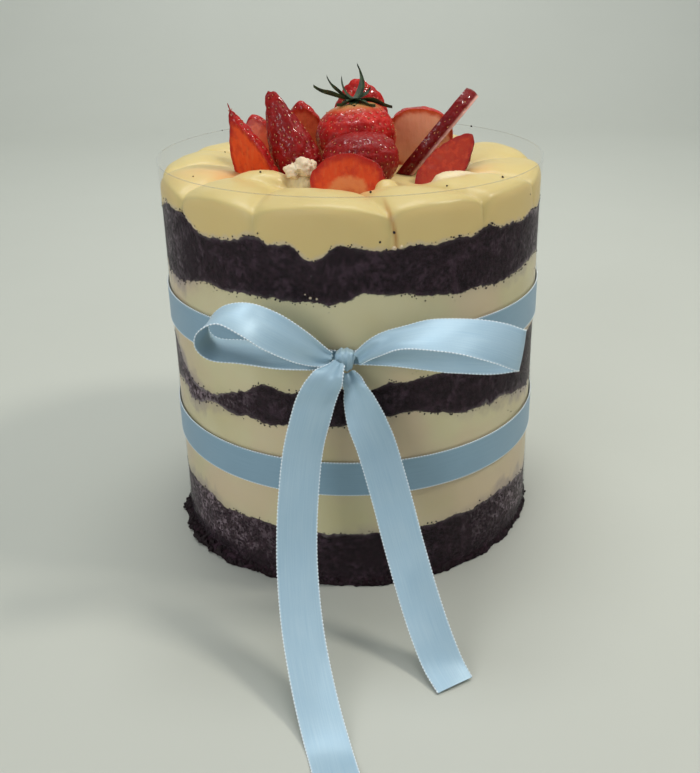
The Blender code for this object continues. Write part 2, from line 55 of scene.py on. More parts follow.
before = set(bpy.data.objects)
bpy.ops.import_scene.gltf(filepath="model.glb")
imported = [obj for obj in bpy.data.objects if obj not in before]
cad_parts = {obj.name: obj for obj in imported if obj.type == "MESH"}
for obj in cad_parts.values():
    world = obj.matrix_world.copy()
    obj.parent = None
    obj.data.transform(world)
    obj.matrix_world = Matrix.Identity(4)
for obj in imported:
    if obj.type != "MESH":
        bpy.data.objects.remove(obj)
solid_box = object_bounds()
solid_size = solid_box[1] - solid_box[0]
print("solids:", len(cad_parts), "size in mm:", [round(side / MM, 1) for side in solid_size])

# %% [markdown]
# ## The camera
#
# The photograph was taken from a little above the cake and close by, so the collar's rim shows as a flat
# ellipse and the ribbon tails grow towards the viewer. A camera can be fitted to such a picture: the rim and
# the foot of the collar are circles of known size, and their two ellipses fix the distance, the height and
# the tilt. We write the result as a position, three turns and a focal length, and build the camera's matrix
# from its three axes, which avoids guessing at Euler angles.
#
# The plain Standard view shows a colour just as the light makes it, so colours that are measured in the
# photograph can be compared with the picture number by number.

# %% Camera
PHOTO_WIDTH = 700
PHOTO_HEIGHT = 773
FOCAL_PIXELS = 950.0
CAMERA_PLACE = Vector((0, -375.9 * MM, 226.7 * MM))
CAMERA_PITCH = 0.4129
CAMERA_YAW = 0.0341
CAMERA_ROLL = -0.0067
OPTICAL_CENTRE = (385, 360)
SENSOR = 36.0


def camera_axes(pitch, yaw, roll):
    """The camera's right, up and forward directions."""
    forward = Vector((math.sin(yaw) * math.cos(pitch), math.cos(yaw) * math.cos(pitch), -math.sin(pitch)))
    right = Vector((math.cos(yaw), -math.sin(yaw), 0))
    up = right.cross(forward)
    turned_right = right * math.cos(roll) + up * math.sin(roll)
    turned_up = up * math.cos(roll) - right * math.sin(roll)
    return turned_right, turned_up, forward


def make_camera():
    lens = bpy.data.cameras.new("camera")
    lens.sensor_width = SENSOR
    lens.lens = FOCAL_PIXELS / PHOTO_HEIGHT * SENSOR
    lens.clip_start = 0.01
    lens.shift_x = (PHOTO_WIDTH / 2 - OPTICAL_CENTRE[0]) / PHOTO_HEIGHT
    lens.shift_y = (OPTICAL_CENTRE[1] - PHOTO_HEIGHT / 2) / PHOTO_HEIGHT
    camera = bpy.data.objects.new("camera", lens)
    bpy.context.scene.collection.objects.link(camera)
    right, up, forward = camera_axes(CAMERA_PITCH, CAMERA_YAW, CAMERA_ROLL)
    turn = Matrix((right, up, -forward)).transposed().to_4x4()
    camera.matrix_world = Matrix.Translation(CAMERA_PLACE) @ turn
    bpy.context.scene.camera = camera
    return camera


bpy.context.scene.view_settings.view_transform = "Standard"
print("camera lens in mm:", round(make_camera().data.lens, 1))

# %% [markdown]
# ## Shader maths as plain expressions
#
# A finish such as crumb or satin is a small calculation done at every point of the surface. In the node
# editor that becomes a tangle of Math nodes. Here one class wraps a socket and overloads the arithmetic
# signs, so that `1 - mask * 0.5` adds the right nodes by itself. A second class owns the material and has
# one method that makes any other node: its type, its settings, and then the values or links of its sockets.

# %% Helper classes for materials
class Wire:
    """An output socket; arithmetic on it adds Math nodes."""

    def __init__(self, finish, socket):
        self.finish = finish
        self.socket = socket

    def math(self, operation, *others, **settings):
        return self.finish.node("ShaderNodeMath", {"operation": operation, **settings}, self, *others)

    def __add__(self, other):
        return self.math("ADD", other)

    def __sub__(self, other):
        return self.math("SUBTRACT", other)

    def __mul__(self, other):
        return self.math("MULTIPLY", other)

    def __pow__(self, other):
        return self.math("POWER", other)

    def __rsub__(self, other):
        return self.finish.node("ShaderNodeMath", {"operation": "SUBTRACT"}, other, self)

    __radd__ = __add__
    __rmul__ = __mul__

    def clamped(self):
        return self.math("ADD", 0.0, use_clamp=True)

    def between(self, low, high):
        """0 where the value is at low or under, 1 at high or over, and smooth in between."""
        return self.finish.node(
            "ShaderNodeMapRange", {"interpolation_type": "SMOOTHSTEP"}, self, low, high, 0.0, 1.0)


class Finish:
    """A material under construction, around one Principled BSDF."""

    def __init__(self, name, **constants):
        self.material = bpy.data.materials.new(name)
        self.material.use_nodes = True
        self.tree = self.material.node_tree
        self.shader = self.tree.nodes["Principled BSDF"]
        for socket, value in constants.items():
            self.shader.inputs[socket.replace("_", " ")].default_value = value

    def node(self, kind, settings=None, *values, out=0, **named):
        made = self.tree.nodes.new(kind)
        for setting, value in (settings or {}).items():
            setattr(made, setting, value)
        sockets = dict(enumerate(values))
        sockets.update({name.replace("_", " "): value for name, value in named.items()})
        for key, value in sockets.items():
            self.feed(made.inputs[key], value)
        return Wire(self, made.outputs[out])

    def feed(self, socket, value):
        if isinstance(value, Wire):
            self.tree.links.new(value.socket, socket)
        elif value is not None:
            wide = socket.type == "RGBA" and len(value) == 3
            socket.default_value = (*value, 1.0) if wide else value

    def put(self, socket, value):
        """Links a value that varies over the surface to a socket of the shader."""
        self.feed(self.shader.inputs[socket], value)

    def place(self):
        """The point's place on the object, in metres."""
        return self.node("ShaderNodeTexCoord", None, out=3)

    def reading(self, name):
        """A number that the mesh keeps at each of its points."""
        return self.node("ShaderNodeAttribute", {"attribute_name": name}, out=2)

    def stretched(self, scale):
        """The place, with each axis scaled."""
        return self.node("ShaderNodeVectorMath", {"operation": "MULTIPLY"}, self.place(), scale)

    def grain(self, size, detail=3.0, roughness=0.5):
        """Noise from 0 to 1 with features of about this size in metres."""
        return self.node("ShaderNodeTexNoise", None, self.place(), Scale=1 / size, Detail=detail,
                         Roughness=roughness)

    def cells(self, size):
        """Distance to the nearest of many scattered points that lie about this far apart."""
        return self.node("ShaderNodeTexVoronoi", None, self.place(), Scale=1 / size)

    def mix(self, factor, first, second):
        """A colour between two colours; the node's sockets for numbers and vectors stay unused."""
        unused = [None] * 5
        return self.node("ShaderNodeMix", {"data_type": "RGBA"}, factor, *unused, first, second, out=2)

    def spot(self, centre, size):
        """1 at a point of the object, fading to 0 at a distance from it."""
        away = self.node("ShaderNodeVectorMath", {"operation": "DISTANCE"}, self.place(), centre, out=1)
        return 1 - away.between(0.25 * size, size)

    def relief(self, height, depth, strength=1.0):
        """Fine bumps: a height from 0 to 1 that stands for a depth in metres."""
        bump = self.node("ShaderNodeBump", None, Strength=strength, Distance=depth, Height=height)
        self.put("Normal", bump)


print("helpers ready")

# %% [markdown]
# ## A plain stand and soft light
#
# The cake deserves a neutral stage: a pale floor that curves up into a backdrop far behind, one soft lamp
# from the upper right, which throws the tails' shadows to the left as in the photograph, and a broad one
# overhead that makes everything facing up brighter than the walls. Another broad one stands at the front
# left, where it is the stronger light on the walls and the ribbon. The sky colour fills the shadows with a
# cool grey, and one more lamp keeps the backdrop from falling dark.

# %% Floor and lamps
FLOOR_REACH = 1.6
FLOOR_DROP = 0.2 * MM
BACKDROP_START = 0.88
BACKDROP_CURVE = 0.5
BACKDROP_TOP = 2.0
CURVE_STEPS = 10


def make_floor():
    bm = bmesh.new()
    rows = [(-FLOOR_REACH, 0.0)]
    for step in range(CURVE_STEPS + 1):
        turn = math.radians(90 * step / CURVE_STEPS)
        depth = BACKDROP_START + BACKDROP_CURVE * math.sin(turn)
        rows.append((depth, BACKDROP_CURVE * (1 - math.cos(turn))))
    rows.append((BACKDROP_START + BACKDROP_CURVE, BACKDROP_TOP))
    line = [bm.verts.new((-FLOOR_REACH, depth, height - FLOOR_DROP)) for depth, height in rows]
    edges = [bm.edges.new(pair) for pair in zip(line, line[1:])]
    bmesh.ops.extrude_edge_only(bm, edges=edges)
    for vert in bm.verts:
        if vert not in line:
            vert.co.x = FLOOR_REACH
    bmesh.ops.recalc_face_normals(bm, faces=bm.faces)
    mesh = bpy.data.meshes.new("floor")
    bm.to_mesh(mesh)
    bm.free()
    mesh.shade_smooth()
    floor = bpy.data.objects.new("floor", mesh)
    bpy.context.scene.collection.objects.link(floor)
    paint = Finish("floor_paint", Roughness=0.55)
    paint.put("Base Color", paint.mix(paint.grain(0.15), (0.52, 0.53, 0.46), (0.55, 0.56, 0.49)))
    mesh.materials.append(paint.material)
    floor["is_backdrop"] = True


def make_lamp(name, place, aim, size, power, colour):
    lamp = bpy.data.lights.new(name, "AREA")
    lamp.shape = "DISK"
    lamp.size = size
    lamp.energy = power
    lamp.color = colour
    obj = bpy.data.objects.new(name, lamp)
    bpy.context.scene.collection.objects.link(obj)
    obj.location = place
    obj.rotation_euler = (Vector(aim) - Vector(place)).to_track_quat("-Z", "Y").to_euler()


def make_sky(colour, strength):
    sky = bpy.data.worlds.new("sky")
    sky.use_nodes = True
    background = sky.node_tree.nodes["Background"]
    background.inputs["Color"].default_value = (*colour, 1.0)
    background.inputs["Strength"].default_value = strength
    bpy.context.scene.world = sky


make_floor()
make_lamp("key", (0.46, -0.10, 0.72), (0, 0, 0.07), 0.15, 2.4, (1.0, 0.96, 0.90))
make_lamp("overhead", (-0.10, -0.05, 0.95), (0, 0, 0.1), 0.8, 1.3, (1.0, 0.98, 0.95))
make_lamp("front", (-0.62, -0.90, 0.50), (0, 0, 0.08), 0.7, 4.0, (0.96, 0.98, 1.0))
make_lamp("backdrop_wash", (0, 0.35, 1.3), (0, 1.3, 0.4), 0.8, 12.0, (0.94, 0.97, 1.0))
make_sky((0.84, 0.91, 1.0), 0.32)
print("stage set")

# %% [markdown]
# ## Meshes from rings
#
# Almost everything on a cake is round, so the basic helper skins a list of rings: each ring has the same
# number of points, neighbours are joined by quads, and the two ends are closed with flat caps. A mesh can
# also carry a number for each point, such as the distance to the nearest join, which a finish reads later.
# Crumbs and seeds are small balls with moved points: one ball is kept as a pattern and copied point by
# point, which is far quicker than asking Blender for a new sphere thousands of times.

# %% Mesh helpers
pieces = {}


def add_piece(name, bm, finishes, smooth_angle=60, readings=None):
    """A finished mesh as an object of the cake, with the numbers that its finishes read."""
    mesh = bpy.data.meshes.new(name)
    bm.verts.index_update()
    bm.to_mesh(mesh)
    bm.free()
    mesh.shade_smooth()
    mesh.set_sharp_from_angle(angle=math.radians(smooth_angle))
    for reading, values in (readings or {}).items():
        mesh.attributes.new(reading, "FLOAT", "POINT").data.foreach_set("value", values)
    for finish in finishes:
        mesh.materials.append(finish.material)
    piece = bpy.data.objects.new(name, mesh)
    bpy.context.scene.collection.objects.link(piece)
    pieces[name] = piece
    return piece


def skin_rings(bm, rings, caps=True):
    """Joins rings of points with quads, from the first ring to the last."""
    count = len(rings[0])
    for lower, upper in zip(rings, rings[1:]):
        for number in range(count):
            after = (number + 1) % count
            bm.faces.new((lower[number], lower[after], upper[after], upper[number]))
    if caps:
        bm.faces.new(rings[0][::-1])
        bm.faces.new(rings[-1])


def at_angle(radius, angle, height):
    """A point at a radius, an angle in degrees and a height."""
    turn = math.radians(angle)
    return Vector((radius * math.cos(turn), radius * math.sin(turn), height))


def turn_between(angle, other):
    """The signed difference of two angles in degrees, from -180 to 180."""
    return (angle - other + 180) % 360 - 180


def smooth_step(low, high, value):
    """0 where the value is at low or under, 1 at high or over, and smooth in between."""
    share = min(1.0, max(0.0, (value - low) / (high - low)))
    return share * share * (3 - 2 * share)


def rough(point, size, seed=0.0):
    """Smooth random numbers from about -1 to 1 that change over this distance."""
    return noise.noise(point / size + Vector((seed, 2 * seed, 3 * seed)))


def ball_pattern(detail):
    """The points and faces of a unit ball."""
    bm = bmesh.new()
    bmesh.ops.create_icosphere(bm, subdivisions=detail, radius=1)
    bm.verts.index_update()
    points = [vert.co.copy() for vert in bm.verts]
    faces = [[vert.index for vert in face.verts] for face in bm.faces]
    bm.free()
    return points, faces


BALLS = {detail: ball_pattern(detail) for detail in (1, 2, 4)}


def add_ball(bm, place_of, detail=1):
    """A ball whose every point goes where a function puts it."""
    points, faces = BALLS[detail]
    verts = [bm.verts.new(place_of(point)) for point in points]
    for face in faces:
        bm.faces.new([verts[index] for index in face])


def add_lump(bm, centre, size, draw, detail=1):
    """A crumb or drop: a small ball with every point moved a little."""
    spin = Matrix.Rotation(draw.uniform(0, math.tau), 3, (draw.uniform(-1, 1), draw.uniform(-1, 1), 0.3))
    add_ball(bm, lambda point: centre + spin @ (point * size / 2 * draw.uniform(0.72, 1.2)), detail)


print("mesh helpers ready")

# %% [markdown]
# ## Where the layers meet
#
# Nothing about a hand-built cake is level. Each join between sponge and cream sags in one place and bulges
# in another, and the solids hold these waves as a few named bumps. We repeat the same sum here, then add a
# finer crumbly wobble that the solids leave out. Both neighbours use one function, so they always meet.

# %% Joins between the layers
LAYER_RADIUS = 74.4 * MM
INNER_SHARE = 0.86
RIPPLE = 0.5 * MM
BACK_LOBES = 5
LOBES = {
    "bottom_sponge_top": (23.7, ((266, 7, -1.5), (345, 11, -2.8), (215, 8, 0.6))),
    "middle_sponge_foot": (68.0, ((284, 14, 4.3), (213, 6, -3.5), (234, 4, -1.6), (345, 18, -6.5),
                                  (319, 7, -1.5))),
    "middle_sponge_top": (84.0, ((221, 18, -11.5), (251, 6, -3.2), (318, 30, 3.0))),
    "top_sponge_foot": (115.8, ((203, 13, -3.0), (276, 11, 2.2), (305, 9, -0.5), (335, 10, 0.9))),
    "top_sponge_top": (134.6, ((207, 14, 4.6), (243, 4, 2.8), (260, 4, -4.4), (309, 4, 2.4), (336, 8, 2.0))),
}
CRUMBLE = 0.75 * MM
CRUMBLE_SIZE = 2.6 * MM


class Join:
    """The height of one join round the cake."""

    def __init__(self, name, seed):
        draw = random.Random(seed)
        level, lobes = LOBES[name]
        self.seed = seed
        self.level = level * MM
        self.lobes = list(lobes)
        for number in range(BACK_LOBES):
            centre = 10 + number * 160 / (BACK_LOBES - 1) + draw.uniform(-9, 9)
            self.lobes.append((centre, draw.uniform(5, 12), draw.uniform(-3.2, 3.2)))
        self.waves = [(count, draw.uniform(0, 360), RIPPLE * size)
                      for count, size in ((7, 1.0), (13, 0.8), (22, 0.7), (31, 0.5))]

    def height(self, angle):
        total = self.level
        for centre, half_width, rise in self.lobes:
            share = abs(turn_between(angle, centre)) / half_width
            total += rise * MM * math.exp(-share ** 3)
        for count, phase, size in self.waves:
            total += size * math.sin(math.radians(count * angle + phase))
        return total

    def edge(self, angle):
        """The height with its crumbly wobble."""
        point = at_angle(LAYER_RADIUS, angle, 0)
        wobble = rough(point, CRUMBLE_SIZE, self.seed)
        wobble += 0.5 * rough(point, CRUMBLE_SIZE / 2.3, self.seed + 20)
        return self.height(angle) + CRUMBLE * wobble


joins = {name: Join(name, seed) for seed, name in enumerate(LOBES, start=3)}
print("joins:", {name: round(join.level / MM, 1) for name, join in joins.items()})

# %% [markdown]
# ## Chocolate sponge
#
# Pressed against film, moist sponge looks almost black, with soft mauve clouds where air sits between crumb
# and film, small glints that are painted highlights, and a mist full of dark specks and pale frosted
# flecks where fat has smeared. One noise field would look like stone, so the finish layers several scales:
# clouds, crumb, specks, frost and painted glints. Near a join the cream has been dragged a little way over
# the crumb, which the mesh marks with its distance to the join. The top sponge is misted a shade less than
# the two below it.

# %% Sponge finish
CRUMB_DARK = (0.0080, 0.0032, 0.0044)
CRUMB_LIT = (0.029, 0.0135, 0.0185)
AIR_VEIL = (0.066, 0.037, 0.051)
TOP_MIST = (0.060, 0.039, 0.047)
LOWER_MIST = (0.070, 0.044, 0.050)
FROST = (0.34, 0.26, 0.29)
PAINTED_GLINT = (0.36, 0.33, 0.34)
CREAM_SMEAR = (0.20, 0.165, 0.17)
CREAM_RAGGED = (0.25, 0.20, 0.13)


def sponge_finish(name, misted):
    sponge = Finish(name, Specular_IOR_Level=0.12)
    crumb = sponge.grain(1.3 * MM, 4.0)
    clouds = sponge.grain(7 * MM, 3.0, roughness=0.65)
    wisps = sponge.grain(2.6 * MM, 3.0, roughness=0.6)
    body = sponge.mix(crumb.between(0.35, 0.7), CRUMB_DARK, CRUMB_LIT)
    veil = clouds.between(0.47, 0.63) * wisps.between(0.36, 0.64)
    body = sponge.mix(veil * 0.6, body, AIR_VEIL)
    specks = 1 - (sponge.cells(1.2 * MM) + (crumb - 0.5) * 0.35).between(0.36, 0.50)
    patchy = 0.45 + clouds.between(0.38, 0.60)
    mist = (sponge.reading("mist") * patchy * (1 - specks)).clamped()
    body = sponge.mix(mist, body, misted)
    frost = mist * sponge.grain(2.2 * MM, 1.0).between(0.50, 0.56)
    body = sponge.mix(frost * 0.60, body, FROST)
    # Painted highlights: small pale glints mixed into the crumb's colour.
    painted_glints = (1 - sponge.cells(5.2 * MM).between(0.022, 0.045)) * clouds.between(0.45, 0.5)
    body = sponge.mix(painted_glints * 0.7, body, PAINTED_GLINT)
    gap = sponge.reading("join_gap")
    smear = 1 - (gap + (wisps - 0.5) * (4.5 * MM)).between(0.0, 1.5 * MM)
    body = sponge.mix(smear * sponge.reading("haze"), body, CREAM_SMEAR)
    ragged = 1 - (gap + (crumb - 0.5) * (1.7 * MM)).between(-0.15 * MM, 0.30 * MM)
    body = sponge.mix(ragged * 0.5, body, CREAM_RAGGED)
    sponge.put("Base Color", body)
    sponge.put("Roughness", 0.72 - mist * 0.15 - veil * 0.2)
    sponge.relief(crumb * 0.7 + wisps * 0.5, 0.6 * MM, 0.8)
    return sponge


film_crumb = sponge_finish("film_pressed_sponge", TOP_MIST)
misty_crumb = sponge_finish("misty_sponge", LOWER_MIST)
print("sponge finishes ready")

# %% [markdown]
# ## Sponge layers
#
# A sponge's wall is a grid of points round the ring and up its height. Where crumb meets the film it is
# flat, and between those contacts it has shallow hollows, so every point moves only inwards, by a noise
# that is cut off at the film. A texture alone would stay smooth at the silhouette.
# The lowest sponge also crumbles out under the film's lower edge, most of all at the left of the front. One
# routine makes any layer between two joins, so the cream can use it too.

# %% Sponge walls
RING = 720
WALL_STEP = 0.75 * MM
FILM_FOOT = 3.4 * MM
PIT_DEPTH = 0.75 * MM
FOOT_COLUMNS = 92
FOOT_LEVELS = (2.0 * MM, 3.0 * MM)
CRUMBLING_ANGLE = 212
CRUMBLING_HALF_ANGLE = 26
FAR_FROM_JOIN = 1.0
HAZE_EVERYWHERE = 0.12
MIST_CLEARS = (5 * MM, 11 * MM)


def pit(point, seed):
    """How far the crumb stands back from the film at a point."""
    coarse = rough(point, 3.4 * MM, seed)
    fine = rough(point, 1.3 * MM, seed + 7)
    return PIT_DEPTH * max(0.0, 0.55 * coarse + 0.6 * fine - 0.02)


def mist_at(angle, places):
    """How misty the film is in front of a layer, from a few places round the cake."""
    return sum(amount * math.exp(-(turn_between(angle, centre) / half_width) ** 2)
               for centre, half_width, amount in places)


def cap_rings(bm, ring, level, direction):
    """Closes a wall's rim with a flat middle at the join's level."""
    inner = [bm.verts.new((vert.co.x * INNER_SHARE, vert.co.y * INNER_SHARE, level)) for vert in ring]
    skin_rings(bm, [ring, inner] if direction > 0 else [inner, ring], caps=False)
    bm.faces.new(inner if direction > 0 else inner[::-1])


def crumbling(angle):
    """How loose the foot is at an angle, from 0 to 1."""
    return math.exp(-(turn_between(angle, CRUMBLING_ANGLE) / CRUMBLING_HALF_ANGLE) ** 2)


def foot_columns():
    """The crumbling foot's outline, in columns round the cake, as the solid has it."""
    draw = random.Random(11)
    columns = []
    for number in range(FOOT_COLUMNS):
        angle = number * 360 / FOOT_COLUMNS
        spread = draw.uniform(0.1, 1.5) + crumbling(angle) * draw.uniform(1.2, 3.6)
        columns.append((spread * MM, (0.75 * spread + draw.uniform(-0.3, 0.5)) * MM))
    return columns


def foot_radius(columns, angle, height):
    """The crumbling foot's radius at an angle and a height under the film's lower edge."""
    place = angle / 360 * FOOT_COLUMNS
    number = int(place) % FOOT_COLUMNS
    after = (number + 1) % FOOT_COLUMNS
    share = smooth_step(0, 1, place - int(place))
    low, middle = [columns[number][row] * (1 - share) + columns[after][row] * share for row in (0, 1)]
    if height < FOOT_LEVELS[0]:
        spread = low + (middle - low) * height / FOOT_LEVELS[0]
    else:
        spread = middle * max(0.0, 1 - (height - FOOT_LEVELS[0]) / (FOOT_LEVELS[1] - FOOT_LEVELS[0]))
    return LAYER_RADIUS + spread


def make_layer(name, low, high, shares, finish, radius_at, marks):
    """A layer between two joins, or between the table and a join, with the numbers that its finish reads."""
    bm = bmesh.new()
    rings = []
    readings = {reading: [] for reading in ("join_gap", *marks)}
    for share in shares:
        ring = []
        for number in range(RING):
            angle = number * 360 / RING
            start = low.edge(angle) if low else 0.0
            end = high.edge(angle)
            height = start + (end - start) * share
            ring.append(bm.verts.new(at_angle(radius_at(angle, height), angle, height)))
            readings["join_gap"].append(min(end - height, height - start if low else FAR_FROM_JOIN))
            for reading, mark_at in marks.items():
                readings[reading].append(mark_at(angle, height))
        rings.append(ring)
    skin_rings(bm, rings, caps=False)
    cap_rings(bm, rings[0], low.level if low else 0.0, -1)
    cap_rings(bm, rings[-1], high.level, 1)
    readings["join_gap"] += [FAR_FROM_JOIN] * (2 * RING)
    for reading in marks:
        readings[reading] += [0.0] * (2 * RING)
    piece = add_piece(name, bm, [finish], readings=readings)
    print(name, "faces:", len(piece.data.polygons))


def make_sponge(name, low, high, finish, seed, mist_places, haze_places, foot=None):
    """A sponge between two joins; the lowest one has a foot instead of a lower join."""
    rows = round((high.level - (low.level if low else 0.0)) / WALL_STEP) + 1
    shares = [row / rows for row in range(rows + 1)]

    def radius_at(angle, height):
        point = at_angle(LAYER_RADIUS, angle, height)
        if foot and height < FOOT_LEVELS[1]:
            loose = 0.7 * MM * rough(point, 1.6 * MM, seed + 3)
            return foot_radius(foot, angle, height) - pit(point, seed) + loose
        return LAYER_RADIUS - pit(point, seed)

    def mist(angle, height):
        clear_of_foot = smooth_step(*MIST_CLEARS, height) if foot else 1.0
        return mist_at(angle, mist_places) * clear_of_foot

    def haze(angle, height):
        return HAZE_EVERYWHERE + mist_at(angle, haze_places)

    make_layer(name, low, high, shares, finish, radius_at, {"mist": mist, "haze": haze})


SIDES = ((214, 22, 0.85), (336, 20, 0.95), (40, 30, 0.5), (120, 24, 0.6))
make_sponge("bottom_sponge", None, joins["bottom_sponge_top"], misty_crumb, 31,
            SIDES, ((330, 26, 0.5), (262, 12, 0.4), (100, 60, 0.3)), foot_columns())
make_sponge("middle_sponge", joins["middle_sponge_foot"], joins["middle_sponge_top"], misty_crumb, 32,
            ((211, 18, 1.1), (345, 12, 0.25), (60, 30, 0.2), (140, 20, 0.25)),
            ((212, 16, 1.2), (318, 12, 0.6), (100, 60, 0.3)))
make_sponge("top_sponge", joins["top_sponge_foot"], joins["top_sponge_top"], film_crumb, 33,
            ((203, 10, 0.35), (344, 12, 0.55), (30, 24, 0.3), (110, 30, 0.3)),
            ((336, 14, 0.8), (235, 12, 0.25), (100, 60, 0.3)))

# %% [markdown]
# ## Cream
#
# The cream is a thick, faintly glossy custard colour. Behind film it looks flat and a touch deeper, because
# the wet contact takes the highlights away; on top it is open to the air, lighter and shiny. Light sinks a
# few millimetres into it, which a little subsurface scattering gives. Such yellows easily turn olive or
# orange. A few of the spoonfuls between the berries are paler than the rest, and juice has tinted the cream
# next to them.

# %% Cream finishes
CREAM_LIGHT = (0.66, 0.53, 0.22)
CREAM_DEEP = (0.78, 0.57, 0.23)
PRESSED_LIGHT = (0.66, 0.60, 0.36)
PRESSED_DEEP = (0.60, 0.53, 0.29)
PRESSED_WARM = (0.66, 0.50, 0.33)
CREAM_SHADE = (0.62, 0.485, 0.19)
CREAM_PALE = (0.80, 0.68, 0.43)
CREAM_RIM = (0.60, 0.50, 0.38)
FILM_HAZE = (0.30, 0.225, 0.215)
SPONGE_DIRT = (0.024, 0.014, 0.016)
SPONGE_BIT = (0.05, 0.03, 0.028)
# The colour of the painted shade in the deepest crease at the front.
CREASE_SHADE = (0.44, 0.19, 0.035)
BLUSH = (0.80, 0.34, 0.12)
PALE_SPOTS = ((-18, -30, 151), (35, -32, 150), (42, -30, 150))
SPOT_SIZE = 11 * MM


def cream_between_finish():
    cream = Finish("cream_behind_film", Roughness=0.42, Subsurface_Weight=0.12, Subsurface_Scale=0.004,
                   Subsurface_Radius=(1.0, 0.7, 0.35))
    broad = cream.grain(28 * MM, 2.0)
    colour = cream.mix(broad.between(0.3, 0.7), PRESSED_DEEP, PRESSED_LIGHT)
    colour = cream.mix(cream.grain(45 * MM, 2.0).between(0.42, 0.62) * 0.7, colour, PRESSED_WARM)
    near = cream.reading("join_gap")
    fine = cream.grain(1.4 * MM, 3.0)
    mist = cream.reading("mist")
    reach = near * (1 - mist.clamped() * 0.5) + (cream.grain(5 * MM) - 0.5) * (6 * MM)
    haze = (1 - reach.between(0.0, 3.4 * MM)) * (0.3 + cream.grain(2 * MM) * 0.5)
    colour = cream.mix((haze * mist).clamped(), colour, FILM_HAZE)
    dirt = 1 - (near + (fine - 0.5) * (2.4 * MM)).between(-0.25 * MM, 0.35 * MM)
    colour = cream.mix(dirt * 0.85, colour, SPONGE_DIRT)
    bits = (1 - cream.cells(3.4 * MM).between(0.05, 0.09)) * (1 - near.between(1.0 * MM, 4.0 * MM))
    colour = cream.mix(bits * 0.85, colour, SPONGE_BIT)
    cream.put("Base Color", colour)
    cream.relief(broad * 0.5 + cream.grain(7 * MM) * 0.5, 0.5 * MM, 0.35)
    return cream


def cream_top_finish():
    cream = Finish("open_cream", Subsurface_Weight=0.18, Subsurface_Scale=0.005,
                   Subsurface_Radius=(1.0, 0.75, 0.4), Coat_Weight=0.06, Coat_Roughness=0.12,
                   Specular_IOR_Level=0.35)
    broad = cream.grain(22 * MM, 2.0)
    contact = cream.reading("contact")
    colour = cream.mix(broad.between(0.3, 0.7), CREAM_LIGHT, CREAM_SHADE)
    colour = cream.mix(contact * 0.6, colour, CREAM_DEEP)
    near = cream.reading("join_gap")
    rim = 1 - (near + (cream.grain(5 * MM) - 0.5) * (4 * MM)).between(0.2 * MM, 2.0 * MM)
    colour = cream.mix(rim * contact * 0.5, colour, CREAM_RIM)
    # Painted shade: a brownish line down the deepest crease at the front.
    crease_shade = (cream.reading("crease_shade") * (0.6 + 0.8 * cream.grain(3 * MM))).clamped()
    colour = cream.mix(crease_shade, colour, CREASE_SHADE)
    blush = (cream.reading("blush") * (0.5 + cream.grain(6 * MM))).clamped()
    colour = cream.mix(blush * 0.6, colour, BLUSH)
    for spot in PALE_SPOTS:
        colour = cream.mix(cream.spot(Vector(spot) * MM, SPOT_SIZE) * 0.8, colour, CREAM_PALE)
    fine = cream.grain(1.4 * MM, 3.0)
    dirt = 1 - (near + (fine - 0.5) * (2.2 * MM)).between(-0.3 * MM, 0.3 * MM)
    colour = cream.mix(dirt * 0.8, colour, SPONGE_DIRT)
    cream.put("Base Color", colour)
    cream.put("Roughness", 0.42 + contact * 0.15)
    cream.relief(broad * 0.5 + cream.grain(4 * MM) * 0.5, 0.5 * MM, 0.25)
    return cream


pressed_cream = cream_between_finish()
open_cream = cream_top_finish()
print("cream finishes ready")

# %% [markdown]
# ## Cream layers
#
# Between two sponges the cream was piped against the film, so its wall is nearly perfect. It needs only
# enough points to follow the crumbly joins, with rows crowded towards them.

# %% Cream walls
CREAM_ROWS = (0.0, 0.015, 0.04, 0.08, 0.14, 0.22, 0.32, 0.42, 0.5,
              0.58, 0.68, 0.78, 0.86, 0.92, 0.96, 0.985, 1.0)
CREAM_SLACK = 0.12 * MM


def make_cream_layer(name, low, high, mist_places):
    """A layer of cream between two sponges, slack by a hair where it doesn't quite reach the film."""

    def radius_at(angle, height):
        point = at_angle(LAYER_RADIUS, angle, height)
        return LAYER_RADIUS - CREAM_SLACK * max(0.0, rough(point, 9 * MM, 41))

    def mist(angle, height):
        return mist_at(angle, mist_places)

    make_layer(name, low, high, CREAM_ROWS, pressed_cream, radius_at, {"mist": mist})


make_cream_layer("lower_cream", joins["bottom_sponge_top"], joins["middle_sponge_foot"],
                 ((330, 26, 1.2), (272, 8, 0.7), (213, 15, 1.3), (120, 30, 0.6)))
make_cream_layer("upper_cream", joins["middle_sponge_top"], joins["top_sponge_foot"],
                 ((206, 13, 1.6), (330, 20, 0.7), (60, 30, 0.5)))

# %% [markdown]
# ## The spooned cream on top
#
# The top was made with the back of a spoon: a dozen soft petals that lean on the film, each rising from a
# crease, swirling in and sinking towards the middle. The form is a height for every angle and distance from
# the centre, which is exactly what the solids use. Here the same sum gets a finer grid, sharper creases, a
# rolled lip where each petal leaves the film, and the extra dabs between the berries, which are blended in
# with a soft maximum so that they look pushed in rather than dropped on.

# %% Top cream
CREAM_WALL = 145.6 * MM
CREAM_CREST = 147.6 * MM
CREAM_CENTRE = 144.0 * MM
PETAL_RISE = 3.0 * MM
BACK_DROP = 2.4 * MM
CREASES = (6, 38, 70, 101, 133, 160, 186, 214, 243, 279.5, 308, 336)
PETAL_SWIRL = 16
CREASE_CUT = 1.1 * MM
DABS = (
    ((-18.5, -30.0, 146.5), (5.5, 4.5, 3.6), 0.6),
    ((38.5, -31.0, 146.8), (9.0, 5.5, 3.6), 0.25),
    ((12.5, -43.0, 147.2), (4.2, 3.4, 3.2), 0.1),
    ((-33.0, -30.0, 147.0), (11.0, 6.5, 4.4), 0.15),
)
DAB_BLEND = 0.9
CREST_SHARE = 0.8
HOLLOW_SHARE = 0.45
CREASE_WIDTH = 0.11
CREASE_DEPTH = 0.6 * MM
TOP_RING = 720
LIP = 5.5 * MM
LIP_DEPTH = 0.7 * MM
